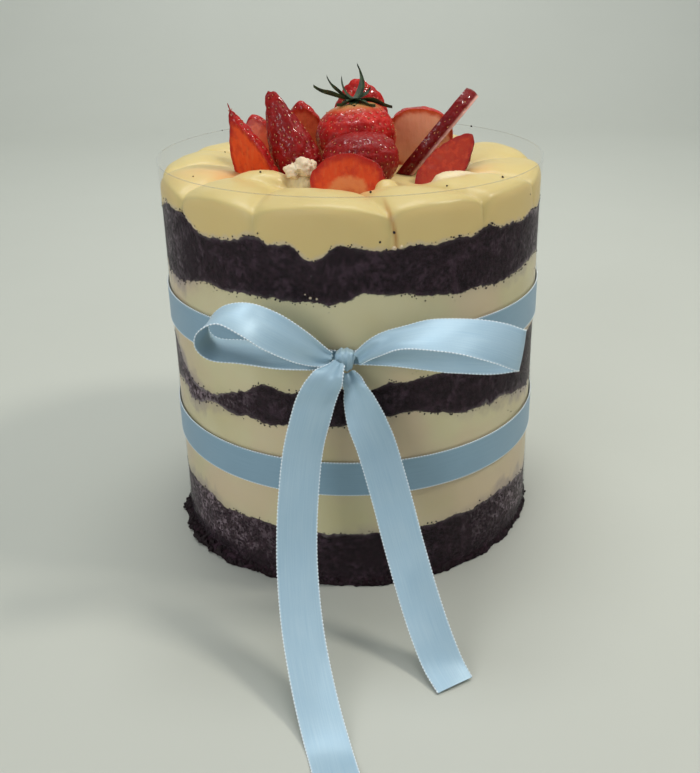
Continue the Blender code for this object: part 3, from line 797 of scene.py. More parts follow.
LIP_DROP = 0.9 * MM
LIP_SHARE = 0.94
SHADED_CREASE = 279.5


def petal_at(angle):
    """A petal's rise at an angle, 1 in its middle and 0 in the creases, and its place from -1 to 1."""
    for start, end in zip(CREASES, CREASES[1:] + (CREASES[0] + 360,)):
        place = (angle - start) % 360
        if place < end - start:
            share = 2 * place / (end - start) - 1
            return 1 - abs(share) ** 2.6, share
    return 0.0, 1.0


def soft_max(first, second, blend):
    """The greater of two heights, rounded where they are close."""
    gap = max(0.0, blend - abs(first - second)) / blend
    return max(first, second) + gap * gap * blend / 4


def cream_height(angle, share):
    """The top of the cream at an angle and a share of the radius."""
    rise_at, side = petal_at(angle + PETAL_SWIRL * (1 - share))
    back = 0.5 * (1 - math.cos(math.radians(turn_between(angle, 292))))
    wall = CREAM_WALL - BACK_DROP * back
    crest = CREAM_CREST - 0.5 * BACK_DROP * back
    if share > CREST_SHARE:
        blend = (share - CREST_SHARE) / (1 - CREST_SHARE)
        base = crest + (wall - crest) * blend ** 2
        rise = 1.0
    elif share > HOLLOW_SHARE:
        blend = (CREST_SHARE - share) / (CREST_SHARE - HOLLOW_SHARE)
        base = crest + (CREAM_CENTRE - crest) * (3 * blend ** 2 - 2 * blend ** 3)
        rise = 1 - blend ** 2
    else:
        base = CREAM_CENTRE
        rise = 0.0
    height = base + PETAL_RISE * rise_at * rise
    crease = math.exp(-((1 - abs(side)) / CREASE_WIDTH) ** 2)
    height -= CREASE_DEPTH * crease * rise
    point = at_angle(LAYER_RADIUS * share, angle, 0)
    height += 0.8 * MM * rough(point, 17 * MM, 51) + 0.22 * MM * rough(point, 6 * MM, 52)
    swirl = rough(at_angle(30 * MM, 3.1 * angle, 60 * MM * share), 9 * MM, 53)
    height += 0.18 * MM * swirl * rise
    for centre, half, crumbly in DABS:
        across = ((point.x / MM - centre[0]) / half[0]) ** 2 + ((point.y / MM - centre[1]) / half[1]) ** 2
        if across < 1.5:
            across += 0.5 * crumbly * rough(point, 3.2 * MM, 55)
            dome = (centre[2] + half[2] * math.sqrt(max(0.0, 1 - across)) - 8 * max(0.0, across - 1)) * MM
            dome += 1.1 * MM * crumbly * rough(point, 2.0 * MM, 56)
            height = soft_max(height, dome, (DAB_BLEND - 0.6 * crumbly) * MM)
    return height


def wall_slack(angle, height, top):
    """How far the cream's wall stands back from the film: only at a petal's lip and in the creases."""
    rise_at, side = petal_at(angle)
    wander = 0.30 * rough(at_angle(LAYER_RADIUS, angle, height), 13 * MM, 54)
    lip = min(1.0, max(0.0, 1 - (top - height) / (LIP * (0.62 + wander + 0.45 * abs(side) ** 3))))
    crease = (1 - rise_at) ** 3
    return CREASE_CUT * crease * smooth_step(0, 0.6, 0.35 + lip) + LIP_DEPTH * lip ** 2.4


def crease_shade_at(point):
    """Painted shade: a brownish line down the deepest crease at the front."""
    angle = math.degrees(math.atan2(point.y, point.x))
    wander = 1.6 * smooth_step(136 * MM, 149 * MM, point.z) - 0.5
    away = abs(turn_between(angle, SHADED_CREASE + 1.1 - wander)) * 1.3 * MM
    outward = smooth_step(60 * MM, 71 * MM, point.xy.length)
    return 0.75 * math.exp(-(away / (0.75 * MM)) ** 2) * outward


BLUSH_SPOTS = ((-49, -22, 8, 0.40), (-44, -24, 7, 0.45), (2, -47, 8, 0.50), (22, -41, 6, 0.30),
               (-60, -24, 7, 0.28), (30, -26, 9, 0.50), (47, -22, 7, 0.45), (-22, -24, 8, 0.45),
               (-15, 24, 9, 0.4), (34, 20, 9, 0.4))


def blush_at(point):
    """Where the juice has tinted the cream near the berries."""
    total = 0.0
    for x, y, size, amount in BLUSH_SPOTS:
        away = (Vector((x, y)) * MM - point.xy).length
        total += amount * math.exp(-(away / (size * MM)) ** 2)
    return total


def make_top_cream():
    low = joins["top_sponge_top"]
    wall_shares = (0.0, 0.03, 0.08, 0.16, 0.26, 0.38, 0.5, 0.62, 0.72, 0.8, 0.86, 0.91, 0.95, 0.98)
    top_shares = [1.0, 0.994, 0.987, 0.978, 0.967, 0.953, 0.936, 0.916, 0.895]
    top_shares += [0.875 - step * 0.0155 for step in range(50)]
    bm = bmesh.new()
    rings = []
    readings = {"join_gap": [], "contact": [], "crease_shade": [], "blush": []}

    def keep(vert, gap, contact):
        readings["join_gap"].append(gap)
        readings["contact"].append(contact)
        readings["crease_shade"].append(crease_shade_at(vert.co))
        readings["blush"].append(blush_at(vert.co))
        return vert

    rims = []
    for number in range(TOP_RING):
        angle = number * 360 / TOP_RING
        rims.append((angle, low.edge(angle), cream_height(angle, 1.0) - LIP_DROP))
    for share in wall_shares:
        ring = []
        for angle, foot, top in rims:
            height = foot + share * (top - foot)
            slack = wall_slack(angle, height, top)
            vert = bm.verts.new(at_angle(LAYER_RADIUS - slack, angle, height))
            ring.append(keep(vert, height - foot, 1 - smooth_step(0.0, 1.3 * MM, slack)))
        rings.append(ring)
    for share in top_shares:
        ring = []
        for angle, foot, top in rims:
            outward = max(0.0, (share - LIP_SHARE) / (1 - LIP_SHARE))
            slack = wall_slack(angle, top, top) * outward
            roll = LIP_DROP * (1 - math.sqrt(1 - min(1.0, outward) ** 2.4))
            height = cream_height(angle, share) - roll
            vert = bm.verts.new(at_angle(LAYER_RADIUS * share - slack, angle, height))
            ring.append(keep(vert, FAR_FROM_JOIN, 0.0))
        rings.append(ring)
    skin_rings(bm, rings, caps=False)
    bm.faces.new(rings[-1])
    foot = []
    for vert in rings[0]:
        inner = bm.verts.new((vert.co.x * INNER_SHARE, vert.co.y * INNER_SHARE, low.level))
        foot.append(keep(inner, FAR_FROM_JOIN, 0.0))
    skin_rings(bm, [foot, rings[0]], caps=False)
    bm.faces.new(foot[::-1])
    piece = add_piece("top_cream", bm, [open_cream], smooth_angle=80, readings=readings)
    print("top cream faces:", len(piece.data.polygons))


make_top_cream()

# %% [markdown]
# ## Crumbs
#
# Cutting and stacking sponge sheds crumbs. They crowd under the film's edge, stick along the joins, and lie
# on the cream and the collar's rim. All of them are one piece: small jittered balls at places that follow a
# rule, plus the few that the eye finds at once in the photograph, which are named one by one. A crumbly bit
# of cream stands among the berries at the left of the front: three bigger balls, roughened by two noises.

# %% Crumbs
CRUMB_SEED = 90
FOOT_CRUMBS = 1500
JOIN_CRUMBS = 260
RIM_RADIUS = 74.7 * MM
RIM_HEIGHT = 152.2 * MM
LOWEST_CRUMB = 0.05 * MM
RIM_CRUMBS = (97.5, 118, 121, 139, 44, 52, 80)
TOP_CRUMBS = ((-33, -32, 0.9), (6.5, -52, 1.1), (33.5, -46, 0.7), (54, -40, 0.9), (-58, -28, 0.6),
              (-52, 20, 0.8), (38, 38, 0.8), (-10, 60, 0.8))
WALL_CRUMBS = ((276.9, 136.6, 1.0), (280.6, 139.6, 1.1), (329, 134.5, 1.0), (331, 142.6, 0.9),
               (323, 59.0, 1.2), (325, 57.4, 0.9), (342, 110, 1.0), (206, 93, 0.8))
CREAM_DROPS = ((280.6, 134.3, 1.7), (282.6, 134.6, 1.4), (258.5, 117.2, 1.0), (260.2, 116.9, 0.8),
               (257.2, 118.4, 0.7))
CREAM_LUMPS = ((-21, -31, 1.2, 7.0), (-17, -30.5, 2.2, 8.5), (-13.2, -29.2, 3.2, 6.4))
LUMP_WOBBLE = 0.32

crumb_finish = Finish("loose_crumb", Roughness=0.75, Specular_IOR_Level=0.25)
crumb_shade = crumb_finish.grain(0.8 * MM)
crumb_finish.put("Base Color", crumb_finish.mix(crumb_shade, (0.007, 0.0042, 0.005), (0.030, 0.018, 0.020)))
crumb_finish.relief(crumb_shade, 0.2 * MM)

white_crumb = Finish("crumbly_cream", Roughness=0.6, Subsurface_Weight=0.1, Subsurface_Scale=0.003)
white_shade = white_crumb.mix(white_crumb.grain(2 * MM), (0.68, 0.52, 0.32), (0.82, 0.68, 0.47))
white_crumb.put("Base Color", white_shade)


def over_cream(x, y, lift):
    """A point over a place in millimetres, this far above the top cream."""
    point = Vector((x, y, 0)) * MM
    angle = math.degrees(math.atan2(y, x)) % 360
    point.z = cream_height(angle, point.length / LAYER_RADIUS) + lift
    return point


def make_crumbs():
    draw = random.Random(CRUMB_SEED)
    columns = foot_columns()
    bm = bmesh.new()
    for number in range(FOOT_CRUMBS):
        angle = draw.uniform(0, 360)
        loose = crumbling(angle)
        if draw.random() > 0.5 + 0.5 * loose:
            continue
        size = draw.uniform(0.5, 1.6) * MM * (1 + 1.1 * loose * draw.random())
        height = draw.uniform(0.3, 3.2) * MM
        radius = foot_radius(columns, angle, height) + draw.uniform(-0.6, 0.25 + 0.7 * loose) * MM
        centre = at_angle(radius, angle, max(height, size * 0.56))
        add_lump(bm, centre, size, draw)
    for name, join in joins.items():
        direction = 1 if name.endswith("top") else -1
        for number in range(JOIN_CRUMBS):
            angle = draw.uniform(0, 360)
            away = abs(draw.gauss(0, 0.6)) * MM
            size = draw.uniform(0.25, 0.95) * MM
            height = join.edge(angle) + direction * away
            add_lump(bm, at_angle(LAYER_RADIUS - 0.12 * size, angle, height), size, draw)
    for angle, height, size in WALL_CRUMBS:
        add_lump(bm, at_angle(LAYER_RADIUS - 0.3 * size * MM, angle, height * MM), size * MM, draw)
    for angle in RIM_CRUMBS:
        size = draw.uniform(0.5, 1.1) * MM
        add_lump(bm, at_angle(RIM_RADIUS, angle, RIM_HEIGHT - 0.2 * size), size, draw)
    for x, y, size in TOP_CRUMBS:
        add_lump(bm, over_cream(x, y, 0.2 * size * MM), size * MM, draw)
    for vert in bm.verts:
        vert.co.z = max(vert.co.z, LOWEST_CRUMB)
    piece = add_piece("loose_crumbs", bm, [crumb_finish], smooth_angle=50)
    print("crumb faces:", len(piece.data.polygons))


def make_drops():
    """Tiny drops of cream on the film over the sponge, and crumbly lumps between the berries."""
    draw = random.Random(CRUMB_SEED + 1)
    bm = bmesh.new()
    for angle, height, size in CREAM_DROPS:
        centre = at_angle(LAYER_RADIUS - 0.25 * size * MM, angle, height * MM)
        add_lump(bm, centre, size * MM, draw, detail=2)
    for x, y, lift, size in CREAM_LUMPS:
        centre = over_cream(x, y, lift * MM)
        reach = size * MM / 2

        def place_of(point):
            uneven = 1 + LUMP_WOBBLE * rough(centre + point * reach, 2.4 * MM, 57)
            uneven += 0.5 * LUMP_WOBBLE * rough(centre + point * reach, 1.1 * MM, 58)
            return centre + Vector((point.x, point.y, 0.85 * point.z)) * reach * uneven

        add_ball(bm, place_of, detail=4)
    piece = add_piece("cream_drops", bm, [white_crumb], smooth_angle=60)
    print("cream drop faces:", len(piece.data.polygons))


make_crumbs()
make_drops()

# %% [markdown]
# ## The film collar
#
# The collar is a strip of clear plastic a third of a millimetre thick. Clear things are seen by their edges
# and their gloss, so the shell needs a true thickness, a sharp upper rim, and a finish that is almost
# invisible face on and faintly milky at a grazing angle. Alpha driven by Layer Weight does this without
# slow refraction.

# %% Film
FILM_RADIUS = 75.0 * MM
FILM_THICKNESS = 0.3 * MM
FILM_TOP = 152.2 * MM
FILM_RING = 360
FILM_EDGE = 0.4 * MM


def film_finish():
    film = Finish("clear_film_finish", Base_Color=(0.30, 0.30, 0.33, 1.0), Roughness=0.08, Coat_Weight=1.0,
                  Coat_Roughness=0.03, IOR=1.5)
    edge_on = film.node("ShaderNodeLayerWeight", None, 0.35, out=1)
    film.put("Alpha", (0.012 + edge_on ** 4 * 0.22 + film.reading("rim") * 0.27).clamped())
    return film


def make_film():
    bm = bmesh.new()
    heights = [FILM_FOOT, FILM_FOOT + FILM_EDGE]
    heights += [FILM_FOOT + share * (FILM_TOP - FILM_FOOT) for share in (0.2, 0.4, 0.6, 0.8)]
    heights += [FILM_TOP - FILM_EDGE, FILM_TOP]
    outline = [(FILM_RADIUS, height) for height in heights]
    outline += [(FILM_RADIUS - FILM_THICKNESS, height) for height in reversed(heights)]
    readings = []
    rings = []
    for radius, height in outline:
        ring = []
        for number in range(FILM_RING):
            ring.append(bm.verts.new(at_angle(radius, number * 360 / FILM_RING, height)))
            readings.append(1.0 if height == FILM_TOP else 0.0)
        rings.append(ring)
    skin_rings(bm, rings + [rings[0]], caps=False)
    piece = add_piece("film_shell", bm, [film_finish()], smooth_angle=40, readings={"rim": readings})
    print("film faces:", len(piece.data.polygons))


make_film()

# %% [markdown]
# ## Satin ribbon
#
# The ribbon is woven satin with a row of tiny loops, called picots, along both edges. Satin's long threads
# run along the ribbon and give it a soft, stretched shine; at this scale a fine stripe in the bump and an
# anisotropic gloss are enough. The picots are real geometry: a thread whose thickness swells at every loop.
# All ribbon parts share one routine that sweeps a strip along a run of centres, each with a direction
# across and a share of the flat width. Where a bow is pinched the width shrinks, and the cloth that is left
# over has to go somewhere, so the strip folds lengthwise. The bow's runs also sway a little out of their
# curve, because a free ribbon is never quite even. The bands lie flat in the bow's shade, and that shade is
# painted into their satin as a deeper colour.

# %% Ribbon finishes and sweep
RIBBON_WIDTH = 13.4 * MM
SATIN_THICKNESS = 0.3 * MM
ACROSS = [step / 8 - 1 for step in range(17)]
FOLDS = 1.5
FOLD_DEPTH = 1.5 * MM
BAND_FOLD_SHARE = 0.3
CUP_DEPTH = 0.3 * MM
SWAY_DEPTH = 0.35 * MM
SWAY_LENGTH = 15 * MM
PICOT_PITCH = 1.2 * MM
PICOT_STEPS = 6
PICOT_THIN = 0.05 * MM
PICOT_THICK = 0.31 * MM
PICOT_OFFSET = 0.10 * MM
PICOT_SIDES = 6
THREADS_ALONG = 60
THREADS_ACROSS = 2600
CROSS_THREADS_ALONG = 1900
CROSS_THREADS_ACROSS = 4


def satin_finish(name, dark, light):
    satin = Finish(name, Metallic=0.12, Specular_IOR_Level=0.5, Anisotropic=0.35, Sheen_Weight=0.15,
                   Sheen_Roughness=0.4, Sheen_Tint=(0.85, 0.93, 1.0, 1.0))
    along = satin.reading("along")
    across = satin.reading("across")
    threads = satin.node("ShaderNodeCombineXYZ", None, along * THREADS_ALONG,
                         across * (RIBBON_WIDTH / 2 * THREADS_ACROSS), 0.0)
    weave = satin.node("ShaderNodeTexNoise", None, threads, Scale=1.0, Detail=1.0)
    cross_threads = satin.node("ShaderNodeCombineXYZ", None, along * CROSS_THREADS_ALONG,
                               across * CROSS_THREADS_ACROSS, 0.0)
    cross = satin.node("ShaderNodeTexNoise", None, cross_threads, Scale=1.0, Detail=1.0)
    blotch = satin.grain(11 * MM, 2.0)
    colour = satin.mix(weave * 0.6 + blotch * 0.4, dark, light)
    edge = across.math("ABSOLUTE").between(0.92, 0.97)
    colour = satin.mix(edge * 0.3, colour, (0.56, 0.70, 0.78))
    satin.put("Base Color", colour)
    satin.put("Roughness", 0.38 + 0.12 * cross + edge * 0.2)
    satin.relief(weave * 0.6 + cross * 0.5, 0.06 * MM, 0.5)
    return satin


def picot_finish():
    thread = Finish("picot_thread", Roughness=0.5, Sheen_Weight=0.3)
    thread.put("Base Color", thread.mix(thread.grain(0.6 * MM), (0.66, 0.78, 0.84), (0.92, 0.96, 0.97)))
    return thread


bow_satin = satin_finish("bow_satin", (0.28, 0.455, 0.580), (0.47, 0.615, 0.680))
# The bands' satin is a darker copy of the bow's: painted shade of the bow.
band_satin_painted_shade = satin_finish("band_satin_painted_shade", (0.205, 0.335, 0.435), (0.275, 0.425, 0.530))
picot_thread = picot_finish()


def curve_through(values, steps):
    """Values on a smooth curve through the given tuples, with so many steps between two of them."""
    padded = [values[0], *values, values[-1]]
    smooth = []
    for before, start, end, after in zip(padded, padded[1:], padded[2:], padded[3:]):
        for step in range(steps):
            place = step / steps
            smooth.append(tuple(
                0.5 * (2 * b + (c - a) * place + (2 * a - 5 * b + 4 * c - d) * place ** 2
                       + (3 * b - a - 3 * c + d) * place ** 3)
                for a, b, c, d in zip(before, start, end, after)))
    smooth.append(tuple(values[-1]))
    return smooth


def rows_of_run(run, steps):
    """Centre, direction along, direction across and width share for every row of a ribbon run."""
    values = curve_through([(*centre, *across, share) for centre, across, share in run], steps)
    centres = [Vector(value[:3]) * MM for value in values]
    rows = []
    for number, value in enumerate(values):
        along = centres[min(number + 1, len(values) - 1)] - centres[max(number - 1, 0)]
        along.normalize()
        across = Vector(value[3:6])
        across = (across - along * across.dot(along)).normalized()
        rows.append((centres[number], along, across, min(1.0, value[6])))
    return rows


def run_length(rows, closed=False):
    """The length along the ribbon's middle, which is what it was cut to."""
    centres = [row[0] for row in rows]
    pairs = list(zip(centres, centres[1:]))
    if closed:
        pairs.append((centres[-1], centres[0]))
    return sum((end - start).length for start, end in pairs)


def sweep_ribbon(name, rows, closed=False):
    """A satin strip with thickness along its rows, folded lengthwise where it is narrow."""
    bm = bmesh.new()
    layers = {side: [] for side in (1, -1)}
    readings = {"along": [], "across": []}
    edge_lines = {-1: [], 1: []}
    travelled = 0.0
    last = rows[0][0]
    for centre, along, across, share in rows:
        travelled += (centre - last).length
        last = centre
        out = across.cross(along)
        half = RIBBON_WIDTH / 2 * share
        fold = FOLD_DEPTH * (1 - share) ** 0.8 * (BAND_FOLD_SHARE if closed else 1.0)
        cup = 0.0 if closed else CUP_DEPTH * share
        line = []
        for place in ACROSS:
            lift = fold * math.cos(math.pi * FOLDS * place) * 0.5 + cup * (place * place - 0.4)
            if not closed:
                lift += SWAY_DEPTH * rough(Vector((travelled, 8 * MM * place, centre.x)), SWAY_LENGTH)
            line.append(centre + across * half * place + out * lift)
        for side in (1, -1):
            row = []
            for place, point in zip(ACROSS, line):
                row.append(bm.verts.new(point + out * side * SATIN_THICKNESS / 2))
                readings["along"].append(travelled)
                readings["across"].append(place)
            layers[side].append(row)
        for side, point in ((-1, line[0]), (1, line[-1])):
            edge_lines[side].append(point + across * side * PICOT_OFFSET)
    count = len(ACROSS)
    rings = [front + back[::-1] for front, back in zip(layers[1], layers[-1])]
    skin_rings(bm, rings + [rings[0]] if closed else rings, caps=False)
    if not closed:
        for ring in (rings[0], rings[-1]):
            for number in range(count - 1):
                opposite = 2 * count - 1 - number
                bm.faces.new((ring[number], ring[number + 1], ring[opposite - 1], ring[opposite]))
    bmesh.ops.recalc_face_normals(bm, faces=bm.faces)
    finish = band_satin_painted_shade if closed else bow_satin
    piece = add_piece(name, bm, [finish], smooth_angle=60, readings=readings)
    return piece, edge_lines


def add_picots(name, lines, closed=False):
    """Threads of tiny loops along the ribbon's edges, as one piece."""
    bm = bmesh.new()
    for line in lines:
        points = line + [line[0]] if closed else line
        lengths = [0.0]
        for start, end in zip(points, points[1:]):
            lengths.append(lengths[-1] + (end - start).length)
        steps = max(PICOT_STEPS, round(lengths[-1] / PICOT_PITCH) * PICOT_STEPS)
        rings = []
        segment = 0
        for step in range(steps if closed else steps + 1):
            target = lengths[-1] * step / steps
            while segment < len(points) - 2 and lengths[segment + 1] < target:
                segment += 1
            start, end = points[segment], points[segment + 1]
            share = (target - lengths[segment]) / max(1e-9, lengths[segment + 1] - lengths[segment])
            along = (end - start).normalized()
            centre = start + (end - start) * share
            swell = (0.5 - 0.5 * math.cos(math.tau * step / PICOT_STEPS)) ** 1.4
            radius = PICOT_THIN + (PICOT_THICK - PICOT_THIN) * swell
            side = along.orthogonal().normalized()
            other = along.cross(side)
            rings.append([bm.verts.new(centre + (side * math.cos(turn) + other * math.sin(turn)) * radius)
                          for turn in (math.tau * corner / PICOT_SIDES for corner in range(PICOT_SIDES))])
        skin_rings(bm, rings + [rings[0]] if closed else rings, caps=not closed)
    bmesh.ops.recalc_face_normals(bm, faces=bm.faces)
    return add_piece(name, bm, [picot_thread], smooth_angle=80)


print("ribbon width in mm:", round(RIBBON_WIDTH / MM, 1))

# %% [markdown]
# ## Two bands round the collar
#
# The lower band is a plain ring of ribbon. The upper one is drawn together under the knot, so its edges
# close in towards the front and rise a little to meet it. A band is a closed run, so its rows go once
# round.

# %% Bands
BAND_RADIUS = 75.05 * MM
LOWER_BAND_FOOT = 40.8 * MM
UPPER_BAND_FOOT = 90.6 * MM
KNOT_ANGLE = 267.5
KNOT_CENTRE = Vector((-3.5, -79.6, 97.3)) * MM
KNOT_SIZE = Vector((6.4, 6.2, 8.0)) * MM
GATHER_HALF_ANGLE = 40
GATHERED_SHARE = 4.8 / 13.4
GATHER_SAG = 1.2 * MM
BAND_ROWS = 360


def gather(angle):
    """How far the upper band is drawn together at an angle: 0 at the sides and 1 at the knot."""
    return 1 - smooth_step(0, GATHER_HALF_ANGLE, abs(turn_between(angle, KNOT_ANGLE)))


def band_rows(foot, gathered):
    """A band's rows once round the collar, with its width running down the wall."""
    rows = []
    for number in range(BAND_ROWS):
        angle = number * 360 / BAND_ROWS
        pull = gather(angle) if gathered else 0.0
        middle = foot + RIBBON_WIDTH / 2
        middle += (KNOT_CENTRE.z - GATHER_SAG - middle) * pull
        centre = at_angle(BAND_RADIUS + SATIN_THICKNESS / 2, angle, middle)
        along = at_angle(1, angle + 90, 0)
        rows.append((centre, along, Vector((0, 0, -1)), 1 + (GATHERED_SHARE - 1) * pull))
    return rows


def make_band(name, foot, gathered):
    rows = band_rows(foot, gathered)
    band, lines = sweep_ribbon(name, rows, closed=True)
    for vert in band.data.vertices:
        reach = vert.co.xy.length
        if reach < BAND_RADIUS:
            vert.co.xy *= BAND_RADIUS / reach
    picots = add_picots(name + "_picots", lines.values(), closed=True)
    length = run_length(rows, closed=True)
    print(name, "length in mm:", round(length / MM, 1))
    return band, picots, length


bands = {
    "ribbon_band_lower": make_band("lower_band_satin", LOWER_BAND_FOOT, False),
    "ribbon_band_upper": make_band("upper_band_satin", UPPER_BAND_FOOT, True),
}

# %% [markdown]
# ## The bow
#
# A bow is three things: two loops that leave the knot, turn over and come back under themselves, two tails
# that fall to the table, and the knot's own wrap. The runs below are the ones that shape the solids.
# Between their points the curve is smooth, so a few points give the slow turns that stiff satin makes.

# %% Bow runs
LEFT_LOOP = (
    ((-8.3, -80.9, 98.2), (0, 0.1, 1), 0.32), ((-12.4, -83, 100.3), (0.35, 0.2, 1), 0.56),
    ((-18.5, -85.5, 104.8), (0.35, 0.35, 0.9), 0.8), ((-27, -87, 110.8), (0.3, 0.6, 0.75), 0.97),
    ((-35, -87, 115.2), (0.2, 0.85, 0.5), 1), ((-43, -86.3, 116.8), (0.1, 0.98, 0.1), 1),
    ((-48.8, -85.6, 113.2), (0.2, 0.97, 0), 1), ((-50, -85, 108.2), (0.2, 0.97, 0.05), 1),
    ((-46.4, -84.6, 104.3), (0.1, 0.98, 0.15), 1), ((-38, -84.6, 103.2), (0, 0.98, 0.2), 1),
    ((-28, -83.6, 101.4), (0, 0.95, 0.3), 0.95), ((-17, -81.9, 98.9), (0, 0.8, 0.6), 0.62),
    ((-7.9, -78.5, 96.4), (0, 0.3, 0.95), 0.3),
)
RIGHT_LOOP = (
    ((0.9, -81.9, 98.6), (-0.1, 0.1, 1), 0.32), ((6, -85, 103.6), (-0.1, 0.5, 0.87), 0.48),
    ((14, -87.2, 107.7), (0, 0.9, 0.43), 0.7), ((24.5, -88.9, 109.6), (0.1, 0.88, 0.47), 0.97),
    ((36, -90.5, 109.4), (0.12, 0.78, 0.62), 1), ((47, -91, 107), (0.08, 0.5, 0.86), 1),
    ((53.8, -90, 104), (0.15, 0.3, 0.95), 1), ((55.6, -86.8, 102.4), (0.2, 0.28, 0.95), 1),
    ((53.2, -83.6, 100.8), (0.2, 0.3, 0.93), 1), ((45.5, -81.6, 99), (0.05, 0.3, 0.95), 1),
    ((32, -80.4, 99.3), (0, 0.25, 0.97), 1), ((15, -79.6, 99.3), (0, 0.15, 0.99), 0.72),
    ((0.9, -78.6, 97), (0, 0.1, 1), 0.3),
)
LEFT_TAIL = (
    ((-5.4, -84.4, 98.4), (1, 0, 0.5), 0.34), ((-8.6, -87.2, 94.6), (0.9, 0.1, 0.4), 0.72),
    ((-12, -88.4, 89.4), (0.96, 0.2, 0.1), 0.93), ((-14.6, -89.6, 83), (0.96, 0.25, 0), 1),
    ((-18.1, -93.7, 70.5), (0.95, 0.3, 0), 1), ((-20.2, -100.3, 54.9), (0.96, 0.26, 0), 1),
    ((-20.9, -107.9, 40.1), (0.96, 0.26, 0), 1), ((-20.4, -115.6, 29.2), (0.96, 0.24, 0), 1),
    ((-18.9, -125, 19), (0.97, 0.2, 0), 1), ((-16.2, -136.2, 10), (0.98, 0.16, 0), 1),
    ((-13.2, -147, 3.6), (0.99, 0.1, 0), 1), ((-10.4, -157, 0.7), (1, 0, 0), 1),
    ((-7.8, -168, 0.7), (1, 0, 0), 1), ((-5.6, -179, 0.7), (1, 0, 0), 1),
)
RIGHT_TAIL = (
    ((-2.6, -80.6, 92.9), (1, 0.2, 0), 0.32), ((-0.8, -83.4, 89.4), (0.85, -0.5, 0), 0.6),
    ((0.9, -85.2, 84.6), (0.9, -0.4, 0), 0.86), ((3.6, -87, 76.6), (0.97, -0.15, 0.1), 1),
    ((7, -89.6, 67.5), (1, 0, 0.15), 1), ((11.7, -95.3, 50.9), (1, 0, 0.15), 1),
    ((15.9, -102.5, 35.1), (1, 0, 0.15), 1), ((21.3, -113, 18), (1, 0, 0.1), 1),
    ((26.6, -123, 5.8), (1, 0.1, 0), 1), ((31, -131, 0.9), (0.9, 0.42, 0), 1),
)
BOW_STEPS = 10
LOWEST_SATIN = 0.3 * MM
LOWEST_PICOT = 0.1 * MM


def keep_above(piece, lowest):
    """Lifts the points that would sink into the table."""
    for vert in piece.data.vertices:
        vert.co.z = max(vert.co.z, lowest)


def make_bow_part(name, run):
    rows = rows_of_run(run, BOW_STEPS)
    strip, lines = sweep_ribbon(name, rows)
    keep_above(strip, LOWEST_SATIN)
    picots = add_picots(name + "_picots", lines.values())
    keep_above(picots, LOWEST_PICOT)
    length = run_length(rows)
    print(name, "length in mm:", round(length / MM, 1))
    return strip, picots, length


bow_parts = {
    "bow_loop_left": make_bow_part("left_loop_satin", LEFT_LOOP),
    "bow_loop_right": make_bow_part("right_loop_satin", RIGHT_LOOP),
    "bow_tail_left": make_bow_part("left_tail_satin", LEFT_TAIL),
    "bow_tail_right": make_bow_part("right_tail_satin", RIGHT_TAIL),
}

# %% [markdown]
# ## The knot
#
# The knot is the ribbon's own wrap, pulled tight from front to back. Seen from the front its pleats run up
# and down. A barrel of rings along its width, with the radius rising and falling a few times, gives three
# soft pleats, and its ends close in towards the loops.

# %% Knot
KNOT_RINGS = 28
KNOT_POINTS = 40
KNOT_SQUARENESS = 3.2
PLEAT_DEPTH = 0.10
PLEAT_WAVES = 1.7
PLEAT_SHIFT = 0.7
KNOT_TWIST = 0.35 * MM


def make_knot():
    bm = bmesh.new()
    rings = []
    readings = {"along": [], "across": []}
    for number in range(KNOT_RINGS + 1):
        place = 2 * number / KNOT_RINGS - 1
        barrel = (1 - abs(place) ** 3.2) ** 0.45 if abs(place) < 1 else 0.0
        pleat = 1 - PLEAT_DEPTH * (0.5 + 0.5 * math.cos(math.tau * PLEAT_WAVES * place + PLEAT_SHIFT))
        size = max(0.12, barrel) * pleat
        ring = []
        for corner in range(KNOT_POINTS):
            turn = math.tau * corner / KNOT_POINTS
            sides = abs(math.cos(turn)) ** KNOT_SQUARENESS + abs(math.sin(turn)) ** KNOT_SQUARENESS
            squareness = 1 / sides ** (1 / KNOT_SQUARENESS)
            twist = KNOT_TWIST * place * math.sin(turn)
            point = Vector((place * KNOT_SIZE.x / 2 + twist,
                            math.cos(turn) * squareness * size * KNOT_SIZE.y / 2,
                            math.sin(turn) * squareness * size * KNOT_SIZE.z / 2))
            ring.append(bm.verts.new(KNOT_CENTRE + point))
            readings["along"].append(turn * 4 * MM)
            readings["across"].append(place * 0.8)
        rings.append(ring)
    skin_rings(bm, rings)
    bmesh.ops.recalc_face_normals(bm, faces=bm.faces)
    return add_piece("knot_satin", bm, [bow_satin], smooth_angle=70, readings=readings)


print("knot faces:", len(make_knot().data.polygons))
